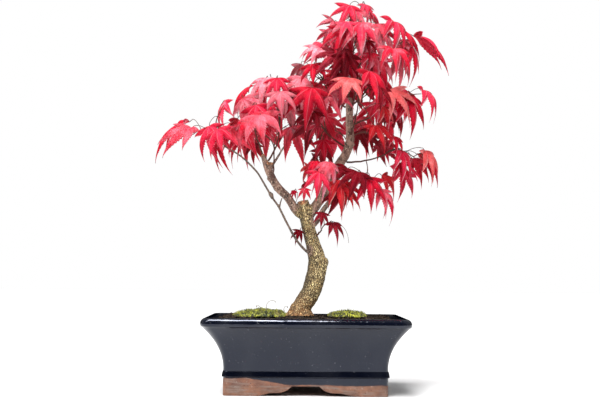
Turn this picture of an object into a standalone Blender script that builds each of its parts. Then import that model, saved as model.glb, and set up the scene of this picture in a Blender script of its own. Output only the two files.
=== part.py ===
"""Japanese maple bonsai in a glazed rectangular pot, in metres, +Z up.

The origin lies on the ground under the middle of the whole bonsai, so the four clay feet
stand at z = 0. The trunk is cut flat at the soil, forks into boughs, and every bough ends
in a mass of leaves that grows from one stem by a seeded rule.
"""

import math
import random

import bmesh
import bpy
from mathutils import Matrix, Vector
from mathutils.bvhtree import BVHTree

# Driving dimensions of the pot
CLEARANCE = 0.0003
RIM_HALF_X = 0.100
RIM_HALF_Y = 0.075
RIM_TOP = 0.074
RIM_HEIGHT = 0.0085
RIM_OVERHANG = 0.0015
RIM_CORNER = 0.009
RIM_WALL = 0.0085
FLARE_INSET = 0.0195
FLARE_POWER = 2.15
FLARE_STEPS = 6
BAND_BULGE = 0.0010
BAND_TOP = 0.0235
BAND_BOTTOM = 0.0190
BODY_BOTTOM = 0.0095
BASE_CORNER = 0.006
FLOOR_TOP = 0.0165
INNER_CORNER = 0.008
CORNER_STEPS = 3
DRAIN_RADIUS = 0.006
DRAIN_SPACING = 0.070

# Driving dimensions of the feet
FOOT_INSET = 0.0008
FOOT_WALL = 0.010
FOOT_LONG = 0.066
FOOT_SHORT = 0.036
FOOT_CORNER = 0.004
FOOT_STEPS = ((0.48, 0.00), (0.56, 0.12), (0.66, 0.30), (0.83, 0.36), (0.92, 0.58))

# Driving dimensions of the soil and the moss
SOIL_TOP = 0.0742
SOIL_EDGE_DROP = 0.0040
SOIL_EDGE_WIDTH = 0.010
MOSS_SHARES = (1.00, 0.90, 0.62, 0.25)
MOSS_SIDES = 12
MOSS_LOBES = ((2, 0.10), (3, 0.07), (5, 0.04))
MOSS_PADS = {
    "moss_left": ((-0.045, -0.026), (0.029, 0.025), 0.0068, 3),
    "moss_right": ((0.041, -0.018), (0.021, 0.020), 0.0064, 8),
    "moss_back": ((-0.040, 0.038), (0.026, 0.017), 0.0042, 5),
}

# Driving dimensions of the limbs: x, y, z and radius at each bend
TREE_FOOT = SOIL_TOP + CLEARANCE
FLARE_RADIUS = 0.0028
FLARE_FALL = 0.0045
TRUNK = (
    (-0.0060, 0.000, TREE_FOOT, 0.0094),
    (-0.0058, 0.000, 0.0765, 0.0094),
    (-0.0040, 0.000, 0.0830, 0.0092),
    (0.0053, 0.002, 0.0990, 0.0096),
    (0.0098, 0.004, 0.1150, 0.0097),
    (0.0116, 0.004, 0.1270, 0.0094),
    (0.0093, 0.003, 0.1373, 0.0082),
    (0.0059, 0.001, 0.1489, 0.0072),
    (0.0022, 0.000, 0.1615, 0.0066),
    (-0.0002, 0.000, 0.1740, 0.0070),
    (-0.0017, 0.000, 0.1815, 0.0070),
    (-0.0048, 0.000, 0.1885, 0.0046),
)
BOUGH_LEFT = (
    (-0.0010, 0.000, 0.1730, 0.0046),
    (-0.0101, -0.002, 0.1794, 0.0043),
    (-0.0189, -0.004, 0.1924, 0.0041),
    (-0.0280, -0.005, 0.2013, 0.0041),
    (-0.0352, -0.006, 0.2123, 0.0040),
    (-0.0394, -0.006, 0.2215, 0.0037),
    (-0.0450, -0.006, 0.2360, 0.0020),
)
BOUGH_LEADER = (
    (0.0000, 0.000, 0.1730, 0.0054),
    (0.0054, 0.000, 0.1797, 0.0053),
    (0.0100, 0.002, 0.1859, 0.0051),
    (0.0175, 0.004, 0.1979, 0.0050),
    (0.0256, 0.006, 0.2139, 0.0049),
    (0.0322, 0.008, 0.2268, 0.0047),
    (0.0389, 0.009, 0.2374, 0.0046),
    (0.0436, 0.010, 0.2507, 0.0045),
    (0.0433, 0.010, 0.2691, 0.0040),
    (0.0432, 0.010, 0.2846, 0.0037),
    (0.0424, 0.010, 0.2970, 0.0034),
)
BOUGH_LOW_RIGHT = (
    (0.0022, 0.000, 0.1610, 0.0028),
    (0.0099, -0.003, 0.1685, 0.0027),
    (0.0148, -0.007, 0.1774, 0.0026),
    (0.0242, -0.012, 0.1897, 0.0024),
    (0.0380, -0.015, 0.2000, 0.0020),
    (0.0500, -0.017, 0.2060, 0.0016),
)
WHIP = (
    (0.0090, -0.001, 0.1330, 0.0017),
    (0.0002, -0.008, 0.1386, 0.0016),
    (-0.0100, -0.011, 0.1499, 0.0015),
    (-0.0192, -0.014, 0.1657, 0.0014),
    (-0.0276, -0.017, 0.1819, 0.0013),
    (-0.0347, -0.019, 0.1921, 0.0013),
    (-0.0427, -0.021, 0.2053, 0.0012),
    (-0.0499, -0.022, 0.2167, 0.0012),
    (-0.0615, -0.023, 0.2285, 0.0011),
    (-0.0691, -0.023, 0.2344, 0.0011),
    (-0.0788, -0.023, 0.2403, 0.0010),
)
TRUNK_STEP = 0.0055
TRUNK_SIDES = 3
COLLAR_STEP = 0.003
END_STEP = 0.0008
COLLAR_SIDES = 2
FOOT_RISE = 0.0012
FOOT_SHRINK = 0.93

# Each limb: its bends, how far it stands out of the trunk before its own node begins, the
# step between its rings and how finely they are rounded
LIMBS = {
    "bough_left": (BOUGH_LEFT, 0.0170, 0.0040, 2),
    "bough_leader": (BOUGH_LEADER, 0.0120, 0.0055, 2),
    "bough_low_right": (BOUGH_LOW_RIGHT, 0.0125, 0.0040, 2),
    "whip_left": (WHIP, 0.0120, 0.0055, 1),
}

# Driving dimensions of the leaves: angle from the middle lobe and share of its length
LOBES = ((-76, 0.46), (-37, 0.84), (0, 1.00), (37, 0.84), (76, 0.46))
LOBE_NOTCH = 0.37
LOBE_MIDDLE = 0.52
BASE_ANGLE = 17
LEAF_THICKNESS = 0.0009
DROOP = (0.22, 0.50)
LEAST_HANG = 32.0
SAG_SHORTENING = 0.3
STALK_LEAD = 0.0014
STALK_COLLAR = 0.06
SHARPEST_TURN = -0.10
PETIOLE_LENGTH = 0.020
PETIOLE_RADIUS = 0.00055
STEM_RADIUS = 0.0014
TWIG_RADIUS = 0.0011
TWIG_TIP_RADIUS = 0.0007
TWIG_SIDES = 3
LEAF_CLEARANCE = 0.0005
LEAF_TRIES = 16
PAIR_PLACES = (0.72,)
STEM_PULL = 0.45
SHOOT_PULL = 0.30
SHOOT_LIFT = 0.22
SHOOT_SWAY = 0.08
SHOOT_SINK = 0.0012
TIP_SINK = 0.0030
TIP_STALK = 0.0060
TIP_SWAY = 0.3
TIP_PULL = 0.4
TIP_HANG = 58.0
PAIR_REACH = (0.6, 1.1)
PAIR_SIZE = (0.75, 1.05)
PAIR_SWAY = 0.9
PAIR_PULL = 0.8
PAIR_HANG = 72.0
FACE_SWAY = 0.35
ROOT_SHARE = 0.6
TIP_SHARE = 0.75
SPACE_MARGIN = 1.20
SPACE_DROP = 0.35
CROWN_HALF_X = 0.150
CROWN_HALF_Y = 0.085
CROWN_AXIS = Vector((0.015, 0.010, 0.0))

# Spaces that stay free of leaves: ranges in x, y and z
OPEN_SKY = (
    ((-0.036, -0.012), (-0.060, 0.060), (0.190, 0.249)),
    ((0.000, 0.011), (-0.090, 0.090), (0.248, 0.259)),
    ((0.051, 0.071), (-0.090, 0.090), (0.218, 0.241)),
    ((0.091, 0.160), (-0.090, 0.090), (0.252, 0.262)),
    ((0.120, 0.160), (-0.090, 0.090), (0.245, 0.274)),
    ((0.035, 0.052), (-0.090, -0.004), (0.226, 0.284)),
    ((-0.170, -0.050), (-0.090, 0.090), (0.150, 0.222)),
)

# Each mass: limb it grows from, place along it, side it leaves by, fork, shoot tips with
# the length of the leaf there, and seed. A place of 1 is the limb's tip.
MASSES = {
    "foliage_far_left": (
        "whip_left", 1.0, (-1, 0, 0.4), (-0.087, -0.024, 0.247),
        ((-0.117, 0.006, 0.257, 0.062), (-0.084, -0.022, 0.283, 0.038),
         (-0.098, -0.042, 0.252, 0.042), (-0.090, 0.002, 0.264, 0.044)),
        5131),
    "foliage_left": (
        "bough_left", 1.0, (-0.4, 0, 1), (-0.052, -0.008, 0.256),
        ((-0.063, -0.026, 0.281, 0.055), (-0.048, -0.036, 0.272, 0.048),
         (-0.060, 0.022, 0.276, 0.044)),
        1061),
    "foliage_left_crest": (
        "bough_left", 0.90, (1, 0.2, 0.4), (-0.028, -0.002, 0.266),
        ((-0.038, -0.012, 0.317, 0.044), (-0.048, 0.000, 0.305, 0.042),
         (-0.028, -0.034, 0.294, 0.036), (-0.022, 0.026, 0.296, 0.042)),
        71),
    "foliage_upper_left": (
        "bough_leader", 0.93, (-1, -0.1, 0), (0.017, 0.002, 0.310),
        ((0.003, -0.004, 0.317, 0.046), (0.006, -0.028, 0.305, 0.046),
         (0.025, -0.006, 0.337, 0.040), (0.004, 0.028, 0.322, 0.042)),
        3071),
    "foliage_top": (
        "bough_leader", 1.0, (0, 0, 1), (0.044, 0.008, 0.334),
        ((0.056, -0.006, 0.394, 0.036), (0.052, -0.026, 0.366, 0.040),
         (0.034, 0.020, 0.368, 0.038), (0.060, 0.028, 0.364, 0.040)),
        5191),
    "foliage_top_right": (
        "bough_leader", 0.95, (1, 0, 0), (0.072, 0.006, 0.328),
        ((0.082, -0.010, 0.369, 0.042), (0.106, 0.010, 0.360, 0.052),
         (0.082, -0.032, 0.340, 0.040), (0.092, 0.030, 0.350, 0.040)),
        2041),
    "foliage_right": (
        "bough_leader", 0.80, (1, -0.2, 0), (0.076, 0.004, 0.284),
        ((0.117, 0.010, 0.302, 0.041), (0.096, -0.020, 0.296, 0.042),
         (0.088, 0.032, 0.296, 0.040), (0.100, -0.004, 0.286, 0.034)),
        5061),
    "foliage_front": (
        "bough_leader", 0.72, (0.2, -1, 0), (0.050, -0.022, 0.282),
        ((0.044, -0.038, 0.306, 0.042), (0.062, -0.038, 0.268, 0.032),
         (0.072, -0.034, 0.298, 0.040)),
        3031),
    "foliage_centre_left": (
        "bough_leader", 0.62, (-1, -0.2, 0), (0.019, 0.000, 0.260),
        ((0.002, -0.010, 0.268, 0.042), (0.020, -0.026, 0.280, 0.040),
         (0.008, 0.026, 0.276, 0.040), (0.012, -0.006, 0.244, 0.034)),
        3041),
    "foliage_inner": (
        "bough_leader", 0.90, (0.3, -1, 0), (0.050, -0.012, 0.318),
        ((0.036, -0.020, 0.336, 0.038), (0.062, -0.014, 0.334, 0.038)),
        2061),
    "foliage_low_front": (
        "bough_leader", 0.28, (-0.2, -1, 0), (0.018, -0.024, 0.208),
        ((0.010, -0.040, 0.222, 0.036), (-0.004, -0.022, 0.200, 0.020),
         (0.026, -0.038, 0.210, 0.034), (0.002, -0.024, 0.222, 0.028)),
        3121),
    "foliage_low_right": (
        "bough_low_right", 1.0, (1, 0, 0.3), (0.056, -0.020, 0.208),
        ((0.053, -0.034, 0.216, 0.037), (0.036, -0.034, 0.211, 0.034),
         (0.069, -0.018, 0.204, 0.040), (0.060, 0.004, 0.232, 0.030)),
        2011),
    "foliage_far_right": (
        "bough_leader", 0.52, (1, -0.2, 0), (0.080, 0.000, 0.238),
        ((0.090, -0.014, 0.242, 0.034), (0.110, 0.000, 0.234, 0.042),
         (0.096, -0.022, 0.228, 0.036), (0.096, 0.026, 0.232, 0.038)),
        41),
    "foliage_back_top": (
        "bough_leader", 0.88, (0, 1, 0), (0.040, 0.036, 0.300),
        ((0.014, 0.046, 0.312, 0.040), (0.044, 0.054, 0.326, 0.042),
         (0.072, 0.046, 0.310, 0.040)),
        3081),
    "foliage_back": (
        "bough_leader", 0.58, (0.1, 1, 0), (0.042, 0.036, 0.252),
        ((0.020, 0.046, 0.272, 0.040), (0.050, 0.056, 0.284, 0.042),
         (0.076, 0.046, 0.266, 0.040)),
        2101),
    "foliage_back_left": (
        "bough_left", 0.62, (-0.3, 1, 0.2), (-0.034, 0.028, 0.246),
        ((-0.050, 0.038, 0.262, 0.042), (-0.022, 0.044, 0.272, 0.042)),
        91),
    "twig_low": (
        "trunk", 0.70, (1, -0.7, 0.1), (0.015, -0.013, 0.160),
        ((0.020, -0.018, 0.166, 0.023),),
        91),
}

COLOURS = {
    "glaze": ((0.012, 0.014, 0.026), 0.10),
    "clay": ((0.36, 0.16, 0.10), 0.75),
    "soil": ((0.045, 0.030, 0.020), 0.95),
    "moss": ((0.24, 0.30, 0.03), 0.95),
    "bark": ((0.33, 0.22, 0.12), 0.85),
    "bark_young": ((0.25, 0.16, 0.11), 0.80),
    "leaf": ((0.60, 0.02, 0.05), 0.50),
}


def material(name):
    """One plain material, made once and shared."""
    found = bpy.data.materials.get(name)
    if found:
        return found
    colour, roughness = COLOURS[name]
    made = bpy.data.materials.new(name)
    made.use_nodes = True
    shader = made.node_tree.nodes["Principled BSDF"]
    shader.inputs["Base Color"].default_value = (*colour, 1.0)
    shader.inputs["Roughness"].default_value = roughness
    shader.inputs["Metallic"].default_value = 0.0
    return made


def put(name, mesh, collection, colour=None):
    """Link a mesh as one named object."""
    made = bpy.data.objects.new(name, mesh)
    collection.objects.link(made)
    if colour:
        mesh.materials.clear()
        mesh.materials.append(material(colour))
    return made


def loft(name, rings):
    """Skin rings of points from the first, which is closed with a cap, to the last."""
    work = bmesh.new()
    rows = [[work.verts.new(point) for point in ring] for ring in rings]
    count = len(rows[0])
    for low, high in zip(rows, rows[1:]):
        for i in range(count):
            j = (i + 1) % count
            work.faces.new((low[i], low[j], high[j], high[i]))
    work.faces.new(reversed(rows[0]))
    work.faces.new(rows[-1])
    bmesh.ops.recalc_face_normals(work, faces=work.faces)
    mesh = bpy.data.meshes.new(name)
    work.to_mesh(mesh)
    work.free()
    return mesh


def rounded_ring(half_x, half_y, corner, z):
    """A rectangle with round corners, as points at one height."""
    points = []
    for quarter, (side_x, side_y) in enumerate(((1, 1), (-1, 1), (-1, -1), (1, -1))):
        centre_x = side_x * (half_x - corner)
        centre_y = side_y * (half_y - corner)
        for step in range(CORNER_STEPS + 1):
            angle = math.pi / 2 * (quarter + step / CORNER_STEPS)
            x = centre_x + corner * math.cos(angle)
            y = centre_y + corner * math.sin(angle)
            points.append((x, y, z))
    return points


def pot_ring(inset, z, corner):
    """The pot's plan outline, set in from the outside of the rim."""
    return rounded_ring(RIM_HALF_X - inset, RIM_HALF_Y - inset, corner, z)


def union(base, others):
    """Join solids into one by a Boolean union on a collection, then drop the spares."""
    cutters = bpy.data.collections.new("joining")
    bpy.context.scene.collection.children.link(cutters)
    for other in others:
        for holder in list(other.users_collection):
            holder.objects.unlink(other)
        cutters.objects.link(other)
    modifier = base.modifiers.new("join", "BOOLEAN")
    modifier.operation = "UNION"
    modifier.operand_type = "COLLECTION"
    modifier.collection = cutters
    modifier.solver = "EXACT"
    bake(base)
    for other in others:
        bpy.data.objects.remove(other)
    bpy.data.collections.remove(cutters)


def bake(target):
    """Replace an object's mesh with its evaluated one and clear the modifiers."""
    bpy.context.view_layer.update()
    graph = bpy.context.evaluated_depsgraph_get()
    mesh = bpy.data.meshes.new_from_object(target.evaluated_get(graph))
    target.modifiers.clear()
    target.data = mesh


def keep_largest(mesh):
    """Drop every loose scrap but the largest connected piece."""
    work = bmesh.new()
    work.from_mesh(mesh)
    left = set(work.verts)
    pieces = []
    while left:
        seed = left.pop()
        piece = {seed}
        edge_of_search = [seed]
        while edge_of_search:
            vertex = edge_of_search.pop()
            for edge in vertex.link_edges:
                other = edge.other_vert(vertex)
                if other in left:
                    left.discard(other)
                    piece.add(other)
                    edge_of_search.append(other)
        pieces.append(piece)
    pieces.sort(key=len)
    for piece in pieces[:-1]:
        bmesh.ops.delete(work, geom=list(piece), context="VERTS")
    work.to_mesh(mesh)
    work.free()


# Pot, feet, soil and moss


def flare_inset(share):
    """Concave flare of the wall: 0 at the base band, 1 under the rim."""
    return RIM_OVERHANG + FLARE_INSET * (1.0 - share ** FLARE_POWER)


def build_pot(collection):
    base_inset = flare_inset(0.0)
    rim_bottom = RIM_TOP - RIM_HEIGHT
    rings = [
        pot_ring(base_inset + 0.0015, BODY_BOTTOM, BASE_CORNER),
        pot_ring(base_inset, BODY_BOTTOM + 0.0015, BASE_CORNER),
        pot_ring(base_inset, BAND_BOTTOM, BASE_CORNER),
        pot_ring(base_inset - BAND_BULGE, BAND_BOTTOM + 0.0012, BASE_CORNER),
        pot_ring(base_inset - BAND_BULGE, BAND_TOP - 0.0012, BASE_CORNER),
    ]
    for step in range(FLARE_STEPS + 1):
        share = step / FLARE_STEPS
        z = BAND_TOP + (rim_bottom - BAND_TOP) * share
        corner = BASE_CORNER + (RIM_CORNER - BASE_CORNER) * share
        rings.append(pot_ring(flare_inset(share), z, corner))
    rings += [
        pot_ring(0.0003, rim_bottom + 0.0008, RIM_CORNER),
        pot_ring(0.0, rim_bottom + 0.0030, RIM_CORNER),
        pot_ring(0.0002, RIM_TOP - 0.0026, RIM_CORNER),
        pot_ring(0.0014, RIM_TOP - 0.0007, RIM_CORNER),
        pot_ring(0.0034, RIM_TOP, RIM_CORNER),
        pot_ring(RIM_WALL - 0.0020, RIM_TOP, RIM_CORNER),
        pot_ring(RIM_WALL, RIM_TOP - 0.0020, INNER_CORNER),
        pot_ring(RIM_WALL + 0.0020, RIM_TOP - 0.0120, INNER_CORNER),
        pot_ring(base_inset + RIM_WALL - 0.0010, BAND_TOP + 0.0080, INNER_CORNER),
        pot_ring(base_inset + RIM_WALL, FLOOR_TOP, INNER_CORNER),
    ]
    pot = put("pot", loft("pot", rings), collection, "glaze")
    guides = bpy.data.collections.new("cutters")
    bpy.context.scene.collection.children.link(guides)
    for side in (-1, 1):
        work = bmesh.new()
        bmesh.ops.create_cone(
            work, cap_ends=True, segments=16, radius1=DRAIN_RADIUS, radius2=DRAIN_RADIUS,
            depth=0.030)
        mesh = bpy.data.meshes.new("drain")
        work.to_mesh(mesh)
        work.free()
        cutter = put("drain", mesh, guides)
        cutter.location = (side * DRAIN_SPACING / 2, 0.0, (BODY_BOTTOM + FLOOR_TOP) / 2)
        cutter.hide_render = True
        cutter.display_type = "WIRE"
        cut = pot.modifiers.new("drain", "BOOLEAN")
        cut.operation = "DIFFERENCE"
        cut.object = cutter
    bake(pot)
    for cutter in list(guides.objects):
        bpy.data.objects.remove(cutter)
    bpy.data.collections.remove(guides)
    shade(pot)
    return pot


def bracket(length, top, thickness):
    """One arm of a foot: a flat pad that steps up towards its free end, as a prism in XZ."""
    outline = [(0.0, 0.0)]
    outline += [(length * out, top * up) for out, up in FOOT_STEPS]
    outline += [(length, top), (0.0, top)]
    near = [(x, 0.0, z) for x, z in outline]
    far = [(x, thickness, z) for x, z in outline]
    return loft("bracket", [near, far])


def build_feet(collection):
    half_x = RIM_HALF_X - flare_inset(0.0) - FOOT_INSET
    half_y = RIM_HALF_Y - flare_inset(0.0) - FOOT_INSET
    top = BODY_BOTTOM - CLEARANCE
    for side_x, word_x in ((-1, "left"), (1, "right")):
        for side_y, word_y in ((-1, "front"), (1, "back")):
            long_arm = put("arm", bracket(FOOT_LONG, top, FOOT_WALL), collection)
            short_arm = put("arm", bracket(FOOT_SHORT, top, FOOT_WALL), collection)
            for vertex in long_arm.data.vertices:
                x, y, z = vertex.co
                vertex.co = (side_x * (half_x - x), side_y * (half_y - y), z)
            for vertex in short_arm.data.vertices:
                x, y, z = vertex.co
                vertex.co = (side_x * (half_x - y), side_y * (half_y - x), z)
            for arm in (long_arm, short_arm):
                turn_outward(arm.data)
            long_arm.name = f"foot_{word_y}_{word_x}"
            union(long_arm, [short_arm])
            dissolve_flat(long_arm.data)
            round_upright_corner(long_arm.data, side_x * half_x, side_y * half_y)
            long_arm.data.materials.clear()
            long_arm.data.materials.append(material("clay"))


def turn_outward(mesh):
    """Turn every face outward, by the sign of the volume on a thin piece."""
    work = bmesh.new()
    work.from_mesh(mesh)
    bmesh.ops.recalc_face_normals(work, faces=work.faces)
    if work.calc_volume(signed=True) < 0.0:
        bmesh.ops.reverse_faces(work, faces=work.faces)
    work.to_mesh(mesh)
    work.free()


def dissolve_flat(mesh):
    """Merge the flat pieces that a union leaves."""
    work = bmesh.new()
    work.from_mesh(mesh)
    bmesh.ops.dissolve_limit(
        work, angle_limit=math.radians(0.5), verts=work.verts, edges=work.edges)
    work.to_mesh(mesh)
    work.free()


def round_upright_corner(mesh, x, y):
    """Bevel the one upright edge at the foot's outer corner."""
    work = bmesh.new()
    work.from_mesh(mesh)
    near = 0.0005
    chosen = [
        edge for edge in work.edges
        if all(abs(v.co.x - x) < near and abs(v.co.y - y) < near for v in edge.verts)
    ]
    bmesh.ops.bevel(
        work, geom=chosen, offset=FOOT_CORNER, segments=3, profile=0.5, affect="EDGES")
    work.to_mesh(mesh)
    work.free()


def build_soil(collection):
    base_inset = flare_inset(0.0)
    floor = FLOOR_TOP + CLEARANCE
    edge_z = SOIL_TOP - SOIL_EDGE_DROP
    low_inset = base_inset + RIM_WALL + CLEARANCE
    side_inset = base_inset + RIM_WALL - 0.0010 + CLEARANCE
    neck_inset = RIM_WALL + 0.0020 + CLEARANCE
    slope_inset = neck_inset + SOIL_EDGE_WIDTH * 0.35
    rings = [
        pot_ring(low_inset, floor, INNER_CORNER),
        pot_ring(side_inset, BAND_TOP + 0.0080, INNER_CORNER),
        pot_ring(neck_inset, RIM_TOP - 0.0120, INNER_CORNER),
        pot_ring(neck_inset - 0.0012, edge_z, INNER_CORNER),
        pot_ring(slope_inset, edge_z + SOIL_EDGE_DROP * 0.6, INNER_CORNER),
        pot_ring(neck_inset + SOIL_EDGE_WIDTH, SOIL_TOP, INNER_CORNER),
    ]
    put("soil", loft("soil", rings), collection, "soil")


def build_moss(collection):
    foot = SOIL_TOP + CLEARANCE
    for name, ((x, y), (half_x, half_y), height, seed) in MOSS_PADS.items():
        rng = random.Random(seed)
        phases = [rng.uniform(0.0, math.tau) for _ in MOSS_LOBES]
        rings = []
        for share in MOSS_SHARES:
            ring = []
            for step in range(MOSS_SIDES):
                angle = math.tau * step / MOSS_SIDES
                reach = 1.0
                for (count, swell), phase in zip(MOSS_LOBES, phases):
                    reach += swell * math.sin(count * angle + phase)
                reach *= share / (1.0 + MOSS_LOBES[0][1])
                z = foot + height * math.sqrt(max(0.0, 1.0 - share ** 2))
                ring.append((x + half_x * reach * math.cos(angle),
                             y + half_y * reach * math.sin(angle), z))
            rings.append(ring)
        shade(put(name, loft(name, rings), collection, "moss"))


def shade(target):
    """Smooth shading with creases kept."""
    target.data.shade_smooth()
    target.data.set_sharp_from_angle(angle=math.radians(35))


# Limbs


def smooth_path(knots):
    """Even points and radii on a smooth curve through the knots."""
    fine = []
    for i in range(len(knots) - 1):
        before = knots[max(i - 1, 0)]
        start = knots[i]
        end = knots[i + 1]
        after = knots[min(i + 2, len(knots) - 1)]
        for step in range(12):
            t = step / 12
            fine.append([
                0.5 * (2 * b + (c - a) * t + (2 * a - 5 * b + 4 * c - d) * t * t
                       + (3 * b - a - 3 * c + d) * t ** 3)
                for a, b, c, d in zip(before, start, end, after)
            ])
    fine.append(list(knots[-1]))
    return [(Vector(p[:3]), p[3]) for p in fine]


def path_length(path):
    return sum((b[0] - a[0]).length for a, b in zip(path, path[1:]))


def along(path, distance):
    """Point, radius and direction at a distance along a path."""
    for (a, radius_a), (b, radius_b) in zip(path, path[1:]):
        piece = (b - a).length
        if distance <= piece:
            t = distance / piece
            return a.lerp(b, t), radius_a + (radius_b - radius_a) * t, (b - a).normalized()
        distance -= piece
    a, b = path[-2], path[-1]
    return b[0].copy(), b[1], (b[0] - a[0]).normalized()


def stretch(path, start, end, step):
    """The part of a path between two distances, in even steps, with both ends cut square."""
    count = max(2, round((end - start) / step))
    points = [along(path, start + (end - start) * i / count)[:2] for i in range(count + 1)]
    for index, distance, way in ((-1, end, -1), (1, start, 1)):
        place, radius, ahead = along(path, distance)
        points.insert(index, (place + ahead * way * END_STEP, radius))
    return points


def limb_mesh(name, path, sides):
    """A tapering limb: a poly curve with a round bevel and caps, made a mesh."""
    curve = bpy.data.curves.new(name, "CURVE")
    curve.dimensions = "3D"
    curve.fill_mode = "FULL"
    curve.bevel_depth = 1.0
    curve.bevel_resolution = sides
    curve.use_fill_caps = True
    spline = curve.splines.new("POLY")
    spline.points.add(len(path) - 1)
    for point, (place, radius) in zip(spline.points, path):
        point.co = (*place, 1.0)
        point.radius = radius
    guide = bpy.data.objects.new(name, curve)
    bpy.context.scene.collection.objects.link(guide)
    bpy.context.view_layer.update()
    graph = bpy.context.evaluated_depsgraph_get()
    mesh = bpy.data.meshes.new_from_object(guide.evaluated_get(graph))
    bpy.data.objects.remove(guide)
    work = bmesh.new()
    work.from_mesh(mesh)
    bmesh.ops.remove_doubles(work, verts=work.verts, dist=0.000001)
    bmesh.ops.recalc_face_normals(work, faces=work.faces)
    work.to_mesh(mesh)
    work.free()
    return mesh


def flared(path):
    """Widen the trunk where it meets the soil."""
    foot = path[0][0].z
    return [
        (place, radius + FLARE_RADIUS * math.exp((foot - place.z) / FLARE_FALL))
        for place, radius in path
    ]


def limb_paths():
    """The whole smooth path of the trunk and of every limb, by name."""
    paths = {"trunk": flared(smooth_path(TRUNK))}
    for name, (bends, _, _, _) in LIMBS.items():
        paths[name] = smooth_path(bends)
    return paths


def build_limbs(collection, paths):
    """The trunk with its collars, and each limb from the end of its collar."""
    trunk_path = stretch(paths["trunk"], 0.0, path_length(paths["trunk"]), TRUNK_STEP)
    foot, foot_radius = trunk_path[0]
    trunk_path[1] = (foot + Vector((0.0, 0.0, FOOT_RISE)), foot_radius * FOOT_SHRINK)
    trunk = put("trunk", limb_mesh("trunk", trunk_path, TRUNK_SIDES), collection, "bark")
    collars = []
    for name, (_, collar, step, sides) in LIMBS.items():
        path = paths[name]
        near = stretch(path, 0.0, collar, COLLAR_STEP)
        rest = stretch(path, collar + CLEARANCE, path_length(path), step)
        collars.append(put("collar", limb_mesh("collar", near, COLLAR_SIDES), collection))
        shade(put(name, limb_mesh(name, rest, sides), collection, "bark_young"))
    union(trunk, collars)
    trunk.data.materials.clear()
    trunk.data.materials.append(material("bark"))
    shade(trunk)


# Leaves and twigs


def bend(points, count):
    """Even points on a quadratic curve through a start, a pull and an end."""
    start, pull, end = points
    return [
        start * (1 - t) ** 2 + pull * 2 * t * (1 - t) + end * t * t
        for t in (i / count for i in range(count + 1))
    ]


def twig_geometry(points, radius, tip_radius, side=Vector((0.3, 0.2, 1.0))):
    """A three-sided tapering twig as vertices and faces."""
    verts = []
    faces = []
    last = len(points) - 1
    for i, point in enumerate(points):
        ahead = points[min(i + 1, last)] - points[max(i - 1, 0)]
        ahead.normalize()
        side = side - ahead * side.dot(ahead)
        side.normalize()
        across = ahead.cross(side)
        width = radius + (tip_radius - radius) * i / last
        for corner in range(TWIG_SIDES):
            angle = math.tau * corner / TWIG_SIDES
            verts.append(point + (side * math.cos(angle) + across * math.sin(angle)) * width)
    for i in range(last):
        for corner in range(TWIG_SIDES):
            a = i * TWIG_SIDES + corner
            b = i * TWIG_SIDES + (corner + 1) % TWIG_SIDES
            faces.append((a, b, b + TWIG_SIDES, a + TWIG_SIDES))
    faces.append(tuple(reversed(range(TWIG_SIDES))))
    faces.append(tuple(last * TWIG_SIDES + corner for corner in range(TWIG_SIDES)))
    return verts, faces


def leaf_piece(stalk, ahead, face, length, droop):
    """A petiole that widens into a palmate leaf, as one closed piece.

    The lobes spread from the apex, are thin at the edge and arch down away from the face.
    """
    side = face.cross(ahead)
    half = LEAF_THICKNESS / 2
    collar = stalk[-1] + ahead * STALK_LEAD
    apex = collar + ahead * (STALK_COLLAR * length)

    def place(angle, out, lift):
        turned = math.radians(angle)
        lobe = ahead * math.cos(turned) + side * math.sin(turned)
        sag = droop * out * out / length
        return apex + lobe * (out - SAG_SHORTENING * droop * sag) + face * (lift - sag)

    path = [collar, *reversed(stalk)]
    verts, faces = twig_geometry(path, PETIOLE_RADIUS, PETIOLE_RADIUS, face)
    faces.remove(tuple(reversed(range(TWIG_SIDES))))
    over, under_right, under_left = range(TWIG_SIDES)

    top = len(verts)
    under = top + 1
    verts += [apex + face * half, apex - face * half]
    angles = [angle for angle, _ in LOBES]
    between = [(a + b) / 2 for a, b in zip(angles, angles[1:])]
    notches = [len(verts) + i for i in range(len(LOBES) + 1)]
    verts.append(place(angles[0] - BASE_ANGLE, length * LOBE_NOTCH * 0.5, 0.0))
    verts += [place(angle, length * LOBE_NOTCH, 0.0) for angle in between]
    verts.append(place(angles[-1] + BASE_ANGLE, length * LOBE_NOTCH * 0.5, 0.0))
    for i, (angle, share) in enumerate(LOBES):
        reach = length * share
        rib = len(verts)
        verts.append(place(angle, reach * LOBE_MIDDLE, half))
        verts.append(place(angle, reach * LOBE_MIDDLE, -half))
        verts.append(place(angle, reach, 0.0))
        low, high = notches[i], notches[i + 1]
        for centre, middle in ((top, rib), (under, rib + 1)):
            faces += [(centre, low, middle), (middle, low, rib + 2)]
            faces += [(middle, rib + 2, high), (centre, middle, high)]
    left, right = notches[0], notches[-1]
    faces += [(over, top, left), (over, right, top), (over, left, under_left)]
    faces += [(over, under_right, right), (under_left, left, under), (under_right, under, right)]
    faces.append((under_left, under, under_right))
    return verts, faces


class Grown:
    """One grown piece with the sphere that holds it and its search tree.

    The owner is the mass it belongs to. A piece that isn't hard bars only other masses.
    """

    def __init__(self, geometry, owner=None, hard=True):
        self.owner = owner
        self.hard = hard
        self.verts, self.faces = geometry
        self.middle = sum(self.verts, Vector()) / len(self.verts)
        self.radius = max((v - self.middle).length for v in self.verts)
        self.tree = BVHTree.FromPolygons(self.verts, self.faces, epsilon=LEAF_CLEARANCE)

    def touches(self, other):
        reach = self.radius + other.radius + LEAF_CLEARANCE
        if (self.middle - other.middle).length > reach:
            return False
        return bool(self.tree.overlap(other.tree))


def from_mesh(mesh):
    verts = [v.co.copy() for v in mesh.vertices]
    faces = [tuple(p.vertices) for p in mesh.polygons]
    return verts, faces


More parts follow.
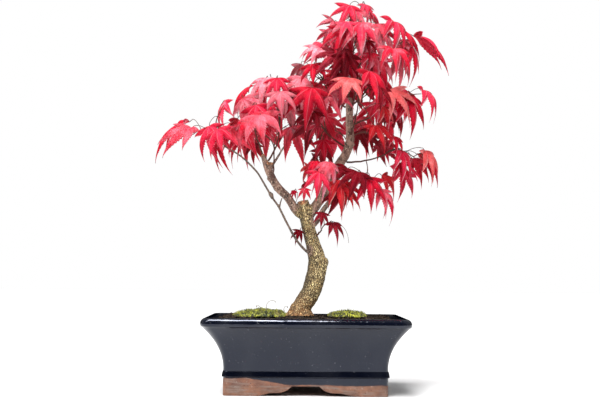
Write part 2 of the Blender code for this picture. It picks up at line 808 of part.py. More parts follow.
def root_of(paths, name, share, side):
    """Start and direction of a stem: at a limb's tip, or square off its side."""
    path = paths[name]
    place, radius, ahead = along(path, path_length(path) * share)
    if share == 1.0:
        return place + ahead * CLEARANCE, ahead
    side = Vector(side)
    side = (side - ahead * side.dot(ahead)).normalized()
    return place + side * (radius + CLEARANCE * 1.4), side


def grow_twigs(paths, mass):
    """The stem from its limb to the fork, and a shoot from the fork to each tip."""
    limb, share, side, fork, tips, seed = mass
    rng = random.Random(seed)
    start, ahead = root_of(paths, limb, share, side)
    fork = Vector(fork)
    run = (fork - start).length
    stem = bend((start, start + ahead * run * STEM_PULL, fork), 3)
    heading = (stem[-1] - stem[-2]).normalized()
    shoots = []
    for tip in tips:
        tip = Vector(tip[:3])
        reach = (tip - fork).length
        pull = fork + heading * reach * SHOOT_PULL + Vector((0, 0, reach * SHOOT_LIFT))
        pull += Vector([rng.uniform(-SHOOT_SWAY, SHOOT_SWAY) * reach for _ in range(3)])
        shoots.append(bend((fork - heading * SHOOT_SINK, pull, tip), 3))
    return stem, shoots


def hanging(rng, apex, level, pull, steepest):
    """The way a leaf's middle lobe points and the way its upper face looks."""
    up = Vector((0, 0, 1))
    outward = apex - CROWN_AXIS
    outward = Vector((outward.x / CROWN_HALF_X ** 2, outward.y / CROWN_HALF_Y ** 2, 0.0))
    outward.normalize()
    level = (Vector((level.x, level.y, 0.0)).normalized() + outward * pull).normalized()
    hang = math.radians(rng.uniform(LEAST_HANG, steepest))
    ahead = level * math.cos(hang) - up * math.sin(hang)
    face = outward + up * 0.7 + level * 0.2
    face += Vector([rng.uniform(-FACE_SWAY, FACE_SWAY) for _ in range(3)])
    face = (face - ahead * face.dot(ahead)).normalized()
    return ahead, face


def leading_leaf(rng, shoot, length):
    """The leaf at a shoot's tip, on a short petiole that goes on from it."""
    heading = (shoot[-1] - shoot[-2]).normalized()
    stalk = [shoot[-1] - heading * TIP_SINK, shoot[-1] + heading * TIP_STALK]
    sway = Vector([rng.uniform(-TIP_SWAY, TIP_SWAY) for _ in range(3)])
    ahead, face = hanging(rng, stalk[-1], heading + sway, TIP_PULL, TIP_HANG)
    return stalk, ahead, face, length * rng.uniform(0.95, 1.05)


def side_leaf(rng, shoot, place, around, length):
    """A petiole from a point on a shoot, and the leaf that hangs from its end."""
    index = place * (len(shoot) - 1)
    low = min(int(index), len(shoot) - 2)
    point = shoot[low].lerp(shoot[low + 1], index - low)
    heading = (shoot[low + 1] - shoot[low]).normalized()
    up = Vector((0, 0, 1))
    side = heading.cross(up)
    if side.length < 0.1:
        side = Vector((1, 0, 0))
    side.normalize()
    radial = side * math.cos(around) + side.cross(heading) * math.sin(around)
    reach = PETIOLE_LENGTH * rng.uniform(*PAIR_REACH)
    out = (radial * 0.9 + heading * 0.55 + up * 0.25).normalized()
    apex = point + out * reach + up * reach * 0.10
    ahead, face = hanging(rng, apex, out, PAIR_PULL, PAIR_HANG)
    arch = point + out * reach * 0.55 + up * reach * 0.22
    return [point, arch, apex], ahead, face, length * rng.uniform(*PAIR_SIZE)


def try_leaf(rng, make, space, owner, obstacles):
    """The first of several tries that keeps to its space and touches nothing.

    Within its own mass a leaf may touch the shoot that its stalk is rooted in.
    """
    centre, radii = space
    for _ in range(LEAF_TRIES):
        stalk, ahead, face, size = make()
        droop = rng.uniform(*DROOP)
        if (stalk[-1] - stalk[-2]).normalized().dot(ahead) < SHARPEST_TURN:
            continue
        piece = leaf_piece(stalk, ahead, face, size, droop)
        if any(outside(v, centre, radii) for v in piece[0]):
            continue
        whole = Grown(piece, owner)
        rootless = [stalk[0].lerp(stalk[1], ROOT_SHARE), *stalk[1:]]
        free = Grown(leaf_piece(rootless, ahead, face, size, droop))
        if any(free.touches(o) for o in obstacles if o.owner == owner and o.hard):
            continue
        if not any(whole.touches(o) for o in obstacles if o.owner != owner):
            obstacles.append(free)
            free.owner = owner
            return [piece]
    return []


def outside(point, centre, radii):
    """True out of a mass's space, or in the open sky between the masses."""
    if any(all(low <= c <= high for c, (low, high) in zip(point, gap)) for gap in OPEN_SKY):
        return True
    return sum(((point[i] - centre[i]) / radii[i]) ** 2 for i in range(3)) > 1.0


def space_of(mass):
    """The space a mass keeps to: an ellipsoid round its tips, lowered for hanging leaves."""
    tips = mass[4]
    length = max(tip[3] for tip in tips)
    low = [min(tip[i] for tip in tips) for i in range(3)]
    high = [max(tip[i] for tip in tips) for i in range(3)]
    centre = Vector([(a + b) / 2 for a, b in zip(low, high)])
    radii = [(b - a) / 2 + length * SPACE_MARGIN for a, b in zip(low, high)]
    centre.z -= length * SPACE_DROP
    return centre, radii


def piece_object(geometry, collection):
    mesh = bpy.data.meshes.new("piece")
    mesh.from_pydata([tuple(v) for v in geometry[0]], [], geometry[1])
    turn_outward(mesh)
    return put("piece", mesh, collection)


def grow_crown(paths, limbs, masses):
    """Every mass as a list of pieces: its twigs, its leading leaves, then the pairs behind."""
    twigs = {name: grow_twigs(paths, mass) for name, mass in masses.items()}
    obstacles = list(limbs)
    pieces = {}
    for name, (stem, shoots) in twigs.items():
        pieces[name] = [twig_geometry(stem, STEM_RADIUS, TWIG_RADIUS)]
        obstacles.append(Grown(pieces[name][0], name))
        for shoot in shoots:
            pieces[name].append(twig_geometry(shoot, TWIG_RADIUS, TWIG_TIP_RADIUS))
            before_tip = shoot[-2].lerp(shoot[-1], TIP_SHARE)
            for points, hard in (([*shoot[:-1], before_tip], True), (shoot[-2:], False)):
                twig = twig_geometry(points, TWIG_RADIUS, TWIG_TIP_RADIUS)
                obstacles.append(Grown(twig, name, hard))
    for name, mass in masses.items():
        rng = random.Random(mass[5])
        for shoot, tip in zip(twigs[name][1], mass[4]):
            pieces[name] += try_leaf(
                rng, lambda: leading_leaf(rng, shoot, tip[3]), space_of(mass), name, obstacles)
    for name, mass in masses.items():
        rng = random.Random(mass[5] + 1)
        for shoot, tip in zip(twigs[name][1], mass[4]):
            turn = rng.uniform(0.0, math.pi)
            for place in PAIR_PLACES:
                for half in (0.0, math.pi):
                    pieces[name] += try_leaf(
                        rng,
                        lambda: side_leaf(
                            rng, shoot, place,
                            turn + half + rng.uniform(-PAIR_SWAY, PAIR_SWAY), tip[3]),
                        space_of(mass), name, obstacles)
                turn += math.pi / 2
    return pieces


def is_closed(mesh):
    """True where every edge has exactly two faces."""
    work = bmesh.new()
    work.from_mesh(mesh)
    closed = all(len(edge.link_faces) == 2 for edge in work.edges)
    work.free()
    return closed


def fuse(pieces, collection):
    """One solid from all pieces. Where the union stays open, they join one by one instead,
    and a piece that would leave it open is dropped."""
    base = piece_object(pieces[0], collection)
    union(base, [piece_object(piece, collection) for piece in pieces[1:]])
    if is_closed(base.data):
        return base
    bpy.data.objects.remove(base)
    base = piece_object(pieces[0], collection)
    for piece in pieces[1:]:
        before = base.data
        union(base, [piece_object(piece, collection)])
        if not is_closed(base.data):
            base.data = before
    return base


def build_foliage(collection, paths):
    """Fuse the pieces of each mass into one solid."""
    limbs = [Grown(from_mesh(o.data)) for o in collection.objects]
    for name, pieces in grow_crown(paths, limbs, MASSES).items():
        mass = fuse(pieces, collection)
        mass.name = name
        keep_largest(mass.data)
        dissolve_flat(mass.data)
        mass.data.materials.clear()
        mass.data.materials.append(material("leaf"))


def centre_on_origin(objects):
    """Move everything so that the middle of the whole box stands over the origin."""
    places = [vertex.co for item in objects for vertex in item.data.vertices]
    low = [min(place[i] for place in places) for i in range(3)]
    high = [max(place[i] for place in places) for i in range(3)]
    shift = Vector((-(low[0] + high[0]) / 2, -(low[1] + high[1]) / 2, -low[2]))
    for item in objects:
        item.data.transform(Matrix.Translation(shift))


def build():
    for old in list(bpy.data.objects):
        bpy.data.objects.remove(old)
    bonsai = bpy.data.collections.new("maple_bonsai")
    bpy.context.scene.collection.children.link(bonsai)
    paths = limb_paths()
    build_pot(bonsai)
    build_feet(bonsai)
    build_soil(bonsai)
    build_moss(bonsai)
    build_limbs(bonsai, paths)
    build_foliage(bonsai, paths)
    centre_on_origin(bonsai.objects)


build()
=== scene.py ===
"""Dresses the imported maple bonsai: glazed pot, clay feet, soil, moss, bark, twigs and leaves."""

import math
import random

import bmesh
import bpy
from mathutils import Matrix, Vector, noise
from mathutils.bvhtree import BVHTree
from mathutils.kdtree import KDTree


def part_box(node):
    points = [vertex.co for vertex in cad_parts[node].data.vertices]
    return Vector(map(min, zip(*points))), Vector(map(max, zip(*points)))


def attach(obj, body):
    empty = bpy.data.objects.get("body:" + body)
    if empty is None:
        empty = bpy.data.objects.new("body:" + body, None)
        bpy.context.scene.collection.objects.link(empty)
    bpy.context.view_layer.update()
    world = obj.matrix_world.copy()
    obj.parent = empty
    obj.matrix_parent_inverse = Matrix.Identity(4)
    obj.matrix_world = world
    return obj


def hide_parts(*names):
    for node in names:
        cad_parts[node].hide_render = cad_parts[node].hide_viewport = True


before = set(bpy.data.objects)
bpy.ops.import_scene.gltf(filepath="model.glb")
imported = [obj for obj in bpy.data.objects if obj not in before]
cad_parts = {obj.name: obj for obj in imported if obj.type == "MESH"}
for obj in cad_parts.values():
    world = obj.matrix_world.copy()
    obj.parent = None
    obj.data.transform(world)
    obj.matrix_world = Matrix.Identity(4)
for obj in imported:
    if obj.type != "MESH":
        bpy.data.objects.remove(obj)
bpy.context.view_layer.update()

# The pot is one piece of stoneware with concave flared sides, a rolled rim and a raised band
# near its foot. It was dipped in a blue-black gloss glaze that stops short of the ground and
# leaves a wedge of bare red clay at the front left.

pot_low, pot_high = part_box("pot")
# The sizes below are measured from the middle of the pot, and SHIFT takes them to the frame.
SHIFT = Vector(((pot_low.x + pot_high.x) / 2, (pot_low.y + pot_high.y) / 2, 0.0))
HALF_X = (pot_high.x - pot_low.x) / 2
HALF_Y = (pot_high.y - pot_low.y) / 2
BASE_INSET = 0.021
FLARE_STEPS = 24
FLARE_POWER = 2.15
FLARE_INSET = 0.0015
FLARE_FOOT = 0.0238
FLARE_TOP = 0.0655
BASE_CORNER = 0.0060
CORNER_GROWTH = 0.0030
CORNER_STEPS = 9
DRAIN_RADIUS = 0.006
DRAIN_SPACING = 0.070
DRAIN_MIDDLE = 0.013
# Rings up the outside, over the rim and down the inside: inset, height, corner radius.
POT_PROFILE = [
    (BASE_INSET + 0.0003, 0.0095, 0.0060), (BASE_INSET, 0.0099, 0.0060),
    (BASE_INSET, 0.0171, 0.0060), (BASE_INSET - 0.0004, 0.0175, 0.0060),
    (BASE_INSET - 0.0011, 0.0178, 0.0062), (BASE_INSET - 0.0014, 0.0183, 0.0062),
    (BASE_INSET - 0.0012, 0.0198, 0.0062), (BASE_INSET - 0.0009, 0.0216, 0.0061),
    (BASE_INSET - 0.0004, 0.0233, 0.0060),
]
for step in range(FLARE_STEPS + 1):
    share = step / FLARE_STEPS
    POT_PROFILE.append((
        FLARE_INSET + (BASE_INSET - FLARE_INSET) * (1 - share ** FLARE_POWER),
        FLARE_FOOT + (FLARE_TOP - FLARE_FOOT) * share, BASE_CORNER + CORNER_GROWTH * share))
POT_PROFILE += [
    (0.0012, 0.0657, 0.0090), (0.0008, 0.0660, 0.0090), (0.0004, 0.0665, 0.0090),
    (0.0001, 0.0672, 0.0090), (0.0000, 0.0681, 0.0090), (0.0000, 0.0692, 0.0090),
    (0.0003, 0.0706, 0.0090), (0.0009, 0.0718, 0.0090), (0.0018, 0.0728, 0.0090),
    (0.0030, 0.0736, 0.0089), (0.0044, 0.0740, 0.0087), (0.0060, 0.0740, 0.0085),
    (0.0074, 0.0738, 0.0082), (0.0083, 0.0730, 0.0080), (0.0086, 0.0715, 0.0080),
    (0.0105, 0.0620, 0.0080), (0.0285, 0.0315, 0.0080), (0.0295, 0.0175, 0.0080),
    (0.0305, 0.0165, 0.0080),
]


class Value:
    """A shader socket that plain arithmetic works on."""

    def __init__(self, finish, socket):
        self.finish = finish
        self.socket = socket

    def maths(self, operation, *numbers):
        return self.finish.node("Math", {"operation": operation}, dict(enumerate(numbers)))

    def __add__(self, other):
        return self.maths("ADD", self, other)

    def __sub__(self, other):
        return self.maths("SUBTRACT", self, other)

    def __rsub__(self, other):
        return self.maths("SUBTRACT", other, self)

    def __mul__(self, other):
        return self.maths("MULTIPLY", self, other)

    __radd__ = __add__
    __rmul__ = __mul__


class Finish:
    """One material, and a single way to add any node to it."""

    def __init__(self, name, constants):
        self.material = bpy.data.materials.new(name)
        self.material.use_nodes = True
        self.tree = self.material.node_tree
        self.shader = self.tree.nodes["Principled BSDF"]
        for socket, constant in constants.items():
            self.shader.inputs[socket].default_value = constant
        self.place = self.node("TexCoord", output="Object")

    def node(self, kind, settings=None, inputs=None, output=0):
        made = self.tree.nodes.new("ShaderNode" + kind)
        for name, setting in (settings or {}).items():
            setattr(made, name, setting)
        for key, item in (inputs or {}).items():
            if isinstance(item, Value):
                self.tree.links.new(item.socket, made.inputs[key])
            else:
                made.inputs[key].default_value = item
        return Value(self, made.outputs[output])

    def stretched(self, scale):
        return self.node("Mapping", inputs={"Vector": self.place, "Scale": scale})

    def grain(self, size, detail=3.0, stretch=None, roughness=0.5):
        """Noise whose patches are about this many metres across."""
        vector = self.stretched(stretch) if stretch else self.place
        return self.node("TexNoise", inputs={
            "Vector": vector, "Scale": 1.0 / size, "Detail": detail, "Roughness": roughness})

    def cells(self, size, stretch=None, feature="F1"):
        """Distance to the middle, or to the edge, of cells about this many metres across."""
        vector = self.stretched(stretch) if stretch else self.place
        return self.node(
            "TexVoronoi", {"feature": feature}, {"Vector": vector, "Scale": 1.0 / size},
            "Distance")

    def fade(self, value, low, high):
        """0 below low, 1 above high."""
        return self.node("MapRange", inputs={"Value": value, "From Min": low, "From Max": high})

    def patches(self, low, high, *grain):
        """Patches of noise: 0 where it is below low, 1 where it is above high."""
        return self.fade(self.grain(*grain), low, high)

    def attribute(self, name):
        return self.node("Attribute", {"attribute_name": name}, output="Fac")

    def mix(self, factor, first, second):
        """The first colour where the factor is 0, the second where it is 1."""
        first, second = [
            item if isinstance(item, Value) else (*item, 1.0) for item in (first, second)]
        return self.node(
            "Mix", {"data_type": "RGBA"}, {0: factor, 6: first, 7: second}, output=2)

    def axis(self, name):
        return self.node("SeparateXYZ", inputs={0: self.place}, output=name)

    def feed(self, socket, value):
        self.tree.links.new(value.socket, self.shader.inputs[socket])

    def relief(self, height, distance):
        self.feed("Normal", self.node(
            "Bump", inputs={"Height": height, "Distance": distance}, output="Normal"))


def clay_colour(finish):
    """Bare red clay: mottled, with pale dust and a few dark specks."""
    mottled = finish.mix(
        finish.patches(0.35, 0.65, 0.009, 4.0), (0.118, 0.058, 0.040),
        (0.220, 0.098, 0.058))
    streaks = finish.grain(0.0022, 4.0, (0.16, 0.16, 1.0))
    mottled = finish.mix(finish.fade(streaks, 0.48, 0.70) * 0.7, mottled, (0.200, 0.150, 0.125))
    dusty = finish.mix(
        finish.patches(0.62, 0.74, 0.003, 5.0) * 0.7, mottled, (0.30, 0.22, 0.18))
    specks = finish.fade(finish.cells(0.0035), 0.10, 0.16)
    return finish.mix(specks, (0.070, 0.034, 0.026), dusty)


def glaze_finish():
    glaze = Finish("blue_black_glaze", {"IOR": 1.49, "Specular Tint": (0.57, 0.61, 0.74, 1.0)})
    height = glaze.axis("Z")
    along = glaze.axis("X") - SHIFT.x
    wedge = glaze.fade(along, -0.012, -0.056) * glaze.fade(glaze.axis("Y"), 0.0, -0.03)
    line = 0.0104 + wedge * 0.0062 + (glaze.grain(0.016, 4.0) - 0.5) * 0.0034
    glazed = glaze.fade(height - line, -0.0001, 0.0002)
    depth = glaze.grain(0.05, 2.0)
    ink = glaze.mix(depth, (0.0010, 0.0014, 0.0038), (0.0024, 0.0033, 0.0080))
    runs = glaze.patches(0.50, 0.72, 0.022, 4.0, (1.0, 1.0, 0.35))
    ink = glaze.mix(runs * 0.8, ink, (0.0075, 0.0085, 0.0125))
    thin = glaze.fade(height - line, 0.0016, 0.0)
    ink = glaze.mix(thin * 0.55, ink, (0.030, 0.016, 0.012))
    dust = glaze.patches(0.705, 0.76, 0.0016, 2.0) * 0.35
    ink = glaze.mix(dust, ink, (0.25, 0.25, 0.27))
    glaze.feed("Base Color", glaze.mix(glazed, clay_colour(glaze), ink))
    smear = glaze.grain(0.03, 4.0) * 0.09 + dust * 0.5 + 0.035
    glaze.feed("Roughness", smear * glazed + (1.0 - glazed) * 0.80)
    pores = glaze.grain(0.0012, 3.0) * (1.0 - glazed) * 0.7
    rolled = glaze.fade(height, 0.0640, 0.0700)
    glaze.feed("Coat Weight", rolled * glaze.patches(0.38, 0.62, 0.03, 3.0) * 0.45)
    waves = glaze.grain(0.009, 1.0) * (rolled * 0.75 + 0.22) + glaze.grain(0.0035, 1.0) * 0.07
    glaze.relief(waves + pores + glazed * 0.4, 0.0006)
    return glaze.material


def extruded(shell, edges):
    """The new vertices and the new edges of a row of edges drawn out."""
    made = bmesh.ops.extrude_edge_only(shell, edges=edges)["geom"]
    return [[item for item in made if isinstance(item, kind)]
            for kind in (bmesh.types.BMVert, bmesh.types.BMEdge)]


def join_ring(shell, ring, before, after):
    """Extrude a ring of edges and give the new ring its own inset, height and corner."""
    fresh, edges = extruded(shell, ring)
    for vertex in fresh:
        for axis, half in enumerate((HALF_X, HALF_Y)):
            reach = (abs(vertex.co[axis]) - (half - before[0] - before[2])) / before[2]
            place = half - after[0] - after[2] + reach * after[2]
            vertex.co[axis] = math.copysign(place, vertex.co[axis])
        vertex.co.z = after[1]
    return [edge for edge in edges if len(edge.link_faces) == 1
            and all(abs(end.co.z - after[1]) < 1e-7 for end in edge.verts)]


def open_edges(shell):
    return [edge for edge in shell.edges if len(edge.link_faces) == 1]


def mesh_of(name, shell, *finishes):
    """A mesh from a bmesh, which is used up, with its materials."""
    mesh = bpy.data.meshes.new(name)
    shell.to_mesh(mesh)
    shell.free()
    for item in finishes:
        mesh.materials.append(item)
    return mesh


def placed(name, data):
    """A new object in the scene."""
    piece = bpy.data.objects.new(name, data)
    bpy.context.scene.collection.objects.link(piece)
    return piece


def finished(name, shell, *finishes, smooth=math.radians(40)):
    """A piece from a bmesh that is centred on the pot."""
    bmesh.ops.translate(shell, vec=SHIFT, verts=shell.verts)
    mesh = mesh_of(name, shell, *finishes)
    mesh.shade_smooth()
    if smooth:
        mesh.set_sharp_from_angle(angle=smooth)
    return placed(name, mesh)


def evaluated_mesh(piece):
    """The mesh of a piece with its modifiers, or of a curve with its thickness."""
    bpy.context.view_layer.update()
    graph = bpy.context.evaluated_depsgraph_get()
    return bpy.data.meshes.new_from_object(piece.evaluated_get(graph))


def applied(piece):
    """Bake a piece's modifiers into its mesh."""
    mesh = evaluated_mesh(piece)
    piece.modifiers.clear()
    piece.data = mesh


def declare(piece, slot, *nodes):
    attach(piece, "root")
    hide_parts(*nodes)


shell = bmesh.new()
first = POT_PROFILE[0]
bmesh.ops.create_grid(shell, x_segments=1, y_segments=1, size=1.0)
for vertex in shell.verts:
    vertex.co.x *= HALF_X - first[0]
    vertex.co.y *= HALF_Y - first[0]
    vertex.co.z = first[1]
bmesh.ops.bevel(
    shell, geom=list(shell.verts), offset=first[2], segments=CORNER_STEPS, profile=0.5,
    affect="VERTICES", material=-1)
ring = list(shell.edges)
for before, after in zip(POT_PROFILE, POT_PROFILE[1:]):
    ring = join_ring(shell, ring, before, after)
bmesh.ops.contextual_create(shell, geom=ring)
bmesh.ops.recalc_face_normals(shell, faces=shell.faces)
pot = finished("glazed_pot", shell, glaze_finish())
for side in (-1, 1):
    drill = bmesh.new()
    bmesh.ops.create_cone(
        drill, cap_ends=True, segments=32, radius1=DRAIN_RADIUS, radius2=DRAIN_RADIUS,
        depth=0.030, matrix=Matrix.Translation((side * DRAIN_SPACING / 2, 0.0, DRAIN_MIDDLE)))
    hole = finished("drain_drill", drill)
    cut = pot.modifiers.new("drain", "BOOLEAN")
    cut.operation = "DIFFERENCE"
    cut.object = hole
    applied(pot)
    bpy.data.objects.remove(hole)
pot.data.shade_smooth()
pot.data.set_sharp_from_angle(angle=math.radians(35))
declare(pot, "glaze", "pot")

# Four bracket feet of the same clay were luted under the corners and left unglazed. Their
# edges are rubbed soft, and their faces are dusty and pitted.

FOOT_REACH = 0.0300
FOOT_SPREAD = 0.0006
FOOT_TOP = 0.0090
LUTED_TOP = 0.0100
FOOT_ROUNDING = 0.0007
clay = Finish("bare_clay", {"Roughness": 0.82})
clay.feed("Base Color", clay_colour(clay))
clay.relief(clay.grain(0.0012, 4.0) * 0.5 + clay.grain(0.008, 2.0) * 0.8, 0.0007)
for node in [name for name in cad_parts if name.startswith("foot_")]:
    block = bmesh.new()
    block.from_mesh(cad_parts[node].data)
    bmesh.ops.remove_doubles(block, verts=block.verts, dist=1e-6)
    bmesh.ops.dissolve_limit(
        block, angle_limit=math.radians(1), verts=block.verts, edges=block.edges)
    bmesh.ops.translate(block, vec=-SHIFT, verts=block.verts)
    for vertex in block.verts:
        for axis, half in enumerate((HALF_X, HALF_Y)):
            if abs(vertex.co[axis]) > half - FOOT_REACH:
                vertex.co[axis] += math.copysign(FOOT_SPREAD, vertex.co[axis])
        if vertex.co.z > FOOT_TOP:
            vertex.co.z = LUTED_TOP
    sharp = [edge for edge in block.edges
             if len(edge.link_faces) == 2 and edge.calc_face_angle(0.0) > math.radians(12)
             and min(end.co.z for end in edge.verts) < FOOT_TOP]
    bmesh.ops.bevel(
        block, geom=sharp, offset=FOOT_ROUNDING, segments=3, profile=0.5, affect="EDGES",
        material=-1, clamp_overlap=True)
    declare(finished("clay_" + node, block, clay.material), "clay", node)

# The pot is filled with dark, damp, crumbly soil that is mounded a little towards the trunk,
# with small stones, bark chips and grit lying on it.

SOIL_TOP = 0.0742
SOIL_INSET = 0.0101
SOIL_CORNER = 0.008
EDGE_DROP = 0.0042
EDGE_WIDTH = 0.012
SETTLED = 0.0006
HUMP_HEIGHT = 0.0010
CRUMB_HEIGHT = 0.0011
SKIRT_FOOT = 0.066
GRIT_COUNT = 340
GRIT_SIZES = (0.0006, 0.0019)
GRIT_SHAPE = (1.4, 1.0, 0.6, 1.0)
soil_finish = Finish("damp_soil", {"Roughness": 0.92, "Specular IOR Level": 0.20})
crumb = soil_finish.cells(0.0022)
soil_colour = soil_finish.mix(
    soil_finish.grain(0.006, 5.0), (0.005, 0.004, 0.003), (0.038, 0.024, 0.016))
soil_colour = soil_finish.mix(
    soil_finish.patches(0.62, 0.68, 0.0011, 2.0) * 0.6, soil_colour,
    (0.17, 0.12, 0.075))
soil_finish.feed("Base Color", soil_colour)
soil_finish.relief(crumb * -1.0 + soil_finish.grain(0.0007, 4.0) * 0.8, 0.0012)
ground = bmesh.new()
bmesh.ops.create_grid(ground, x_segments=150, y_segments=110, size=1.0)
reach_x = HALF_X - SOIL_INSET
reach_y = HALF_Y - SOIL_INSET


def soil_level(x, y):
    """The height of the soil, which falls away a little towards the pot's wall."""
    edge = min(reach_x - abs(x), reach_y - abs(y))
    return SOIL_TOP - EDGE_DROP * (1 - min(1.0, edge / EDGE_WIDTH)) ** 2 - SETTLED


for vertex in ground.verts:
    x, y = vertex.co.x * reach_x, vertex.co.y * reach_y
    over_x = max(0.0, abs(x) - (reach_x - SOIL_CORNER))
    over_y = max(0.0, abs(y) - (reach_y - SOIL_CORNER))
    over = math.hypot(over_x, over_y)
    if over > SOIL_CORNER:
        x -= math.copysign(over_x * (1 - SOIL_CORNER / over), x)
        y -= math.copysign(over_y * (1 - SOIL_CORNER / over), y)
    mound = soil_level(x, y)
    spot = Vector((x, y, 0.0))
    mound += HUMP_HEIGHT * noise.fractal(spot * 60, 1.0, 2.0, 3)
    mound -= CRUMB_HEIGHT * min(1.0, noise.voronoi(spot * 420)[0][0] * 1.6)
    vertex.co = (x, y, min(mound, SOIL_TOP))
for vertex in extruded(ground, open_edges(ground))[0]:
    vertex.co.z = SKIRT_FOOT
rng = random.Random(5)
for _ in range(GRIT_COUNT):
    x, y = rng.uniform(-0.086, 0.086), rng.uniform(-0.061, 0.061)
    size = rng.uniform(*GRIT_SIZES)
    turn = Matrix.Rotation(rng.uniform(0, 6.28), 4, Vector([rng.gauss(0, 1) for _ in range(3)]))
    bmesh.ops.create_icosphere(
        ground, subdivisions=1, radius=size,
        matrix=Matrix.Translation((x, y, soil_level(x, y))) @ turn @ Matrix.Diagonal(GRIT_SHAPE))
bmesh.ops.recalc_face_normals(ground, faces=ground.faces)
declare(finished("soil_surface", ground, soil_finish.material, smooth=0), "soil", "soil")

# Cushions of yellow-green moss lie on the soil beside the trunk, lumpy and thick with short
# upright shoots. A few thin stalks rise and curl out of the left one.

moss = Finish("yellow_green_moss", {"Roughness": 0.90, "Sheen Weight": 0.25})
moss_colour = moss.mix(
    moss.patches(0.42, 0.62, 0.0032, 4.0), (0.022, 0.030, 0.003), (0.420, 0.430, 0.030))
moss_colour = moss.mix(
    moss.patches(0.58, 0.70, 0.009, 3.0) * 0.6, moss_colour, (0.20, 0.13, 0.03))
moss.feed("Base Color", moss_colour)
moss.relief(moss.grain(0.0007, 3.0), 0.0010)
stalk = Finish("moss_stalk", {"Roughness": 0.70})
stalk.feed("Base Color", stalk.mix(stalk.grain(0.002), (0.16, 0.14, 0.11), (0.30, 0.27, 0.24)))


def tubes(name, strands, sides):
    """A mesh of round tapering strands: points, radii and finish number of each."""
    curve = bpy.data.curves.new(name, "CURVE")
    curve.dimensions = "3D"
    curve.fill_mode = "FULL"
    curve.bevel_depth = 1.0
    curve.bevel_resolution = sides
    curve.use_fill_caps = True
    for points, radii, finish in strands:
        spline = curve.splines.new("POLY")
        spline.material_index = finish
        spline.points.add(len(points) - 1)
        for knot, place, radius in zip(spline.points, points, radii):
            knot.co = (*place, 1.0)
            knot.radius = radius
    guide = placed(name, curve)
    mesh = evaluated_mesh(guide)
    bpy.data.objects.remove(guide)
    shell = bmesh.new()
    shell.from_mesh(mesh)
    bmesh.ops.remove_doubles(shell, verts=shell.verts, dist=1e-7)
    bmesh.ops.recalc_face_normals(shell, faces=shell.faces)
    return shell


def taper(root, loss, steps):
    """Radii that fall evenly from the root's."""
    return [root - loss * i / steps for i in range(steps + 1)]


def cut_level(shell, height):
    """Cut a shell level and drop what is below the cut."""
    bmesh.ops.bisect_plane(
        shell, geom=[*shell.verts, *shell.edges, *shell.faces],
        plane_co=(0, 0, height), plane_no=(0, 0, -1), clear_outer=True)


def corners_of(face):
    """A face's corners, always in the same order, so that each run draws alike."""
    return sorted((vertex.co for vertex in face.verts), key=tuple)


SPRIGS_PER_AREA = 1.5e6
SPRIG_LENGTHS = (0.0010, 0.0028)
SPRIG_ROOT = 0.00030
SPRIG_TIP = 0.00004
# Dry stalks on the left cushion: place, height and how far each one curls over.
MOSS_STALKS = (
    (-0.0385, -0.028, 0.018, 0.013), (-0.0430, -0.030, 0.010, -0.004),
    (-0.0215, -0.026, 0.009, 0.005))
for node in ("moss_left", "moss_right", "moss_back"):
    low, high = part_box(node)
    middle = (low + high) / 2 - SHIFT
    half = (high - low) / 2
    rng = random.Random(node)
    pad = bmesh.new()
    bmesh.ops.create_uvsphere(pad, u_segments=56, v_segments=32, radius=1.0)
    cut_level(pad, 0.0)
    bmesh.ops.edgeloop_fill(pad, edges=open_edges(pad))
    sprigs = []
    for vertex in pad.verts:
        flat = Vector((vertex.co.x, vertex.co.y, 0.0))
        angle = math.atan2(flat.y, flat.x)
        swell = 0.88 + 0.10 * noise.noise(Vector((math.cos(angle), math.sin(angle), low.x)) * 1.7)
        top = vertex.co.z ** 0.7 if vertex.co.z > 0.001 else 0.0
        lumps = 0.80 + 0.55 * noise.fractal(Vector((*vertex.co.xy, low.x)) * 4.0, 1.0, 2.0, 3)
        vertex.co.x = middle.x + vertex.co.x * half.x * swell
        vertex.co.y = middle.y + vertex.co.y * half.y * swell
        vertex.co.z = low.z + top * (high.z - low.z) * 0.86 * lumps
    pad.normal_update()
    faces = [face for face in pad.faces if face.normal.z > 0.05 and face.calc_area() < 0.0001]
    faces.sort(key=lambda face: [tuple(corner) for corner in corners_of(face)])
    areas = [face.calc_area() for face in faces]
    for face in rng.choices(faces, weights=areas, k=int(sum(areas) * SPRIGS_PER_AREA)):
        corners = corners_of(face)
        weights = [rng.random() for _ in corners]
        root = sum((c * w for c, w in zip(corners, weights)), Vector()) / sum(weights)
        lean = face.normal + Vector((rng.gauss(0, 0.35), rng.gauss(0, 0.35), 0.35))
        sprigs.append((root, lean.normalized(), rng.uniform(*SPRIG_LENGTHS)))
    for root, lean, length in sprigs:
        turn = lean.to_track_quat("Z", "Y").to_matrix().to_4x4()
        bmesh.ops.create_cone(
            pad, cap_ends=True, segments=3, radius1=SPRIG_ROOT, radius2=SPRIG_TIP,
            depth=length * 1.4, matrix=Matrix.Translation(root + lean * length * 0.4) @ turn)
    if node == "moss_left":
        strands = []
        for x, y, height, curl in MOSS_STALKS:
            points = [
                Vector((x + curl * t * t - 0.4 * abs(curl) * t, y + 0.2 * curl * t,
                        high.z - 0.002 + height * (t - 0.42 * t ** 3.2)))
                for t in (i / 9 for i in range(10))]
            strands.append((points, taper(0.00034, 0.00012, 9), 0))
            strands.append((
                [points[-1], points[-1] + Vector((0.0004, 0, -0.0008)),
                 points[-1] + Vector((0.0006, 0, -0.0018))], [0.0002, 0.0006, 0.0001], 0))
        declare(finished("moss_stalks", tubes("moss_stalks", strands, 2), stalk.material),
                "moss", "moss_left")
    declare(finished("green_" + node, pad, moss.material), "moss", node)

# The trunk leans and bends, with a knob where a branch was taken off, and forks into two
# boughs, a thin low bough and a long whip. The bark is tan and finely flecked on the trunk,
# rusty at the soil, and turns smoother and greyer brown out along the boughs.

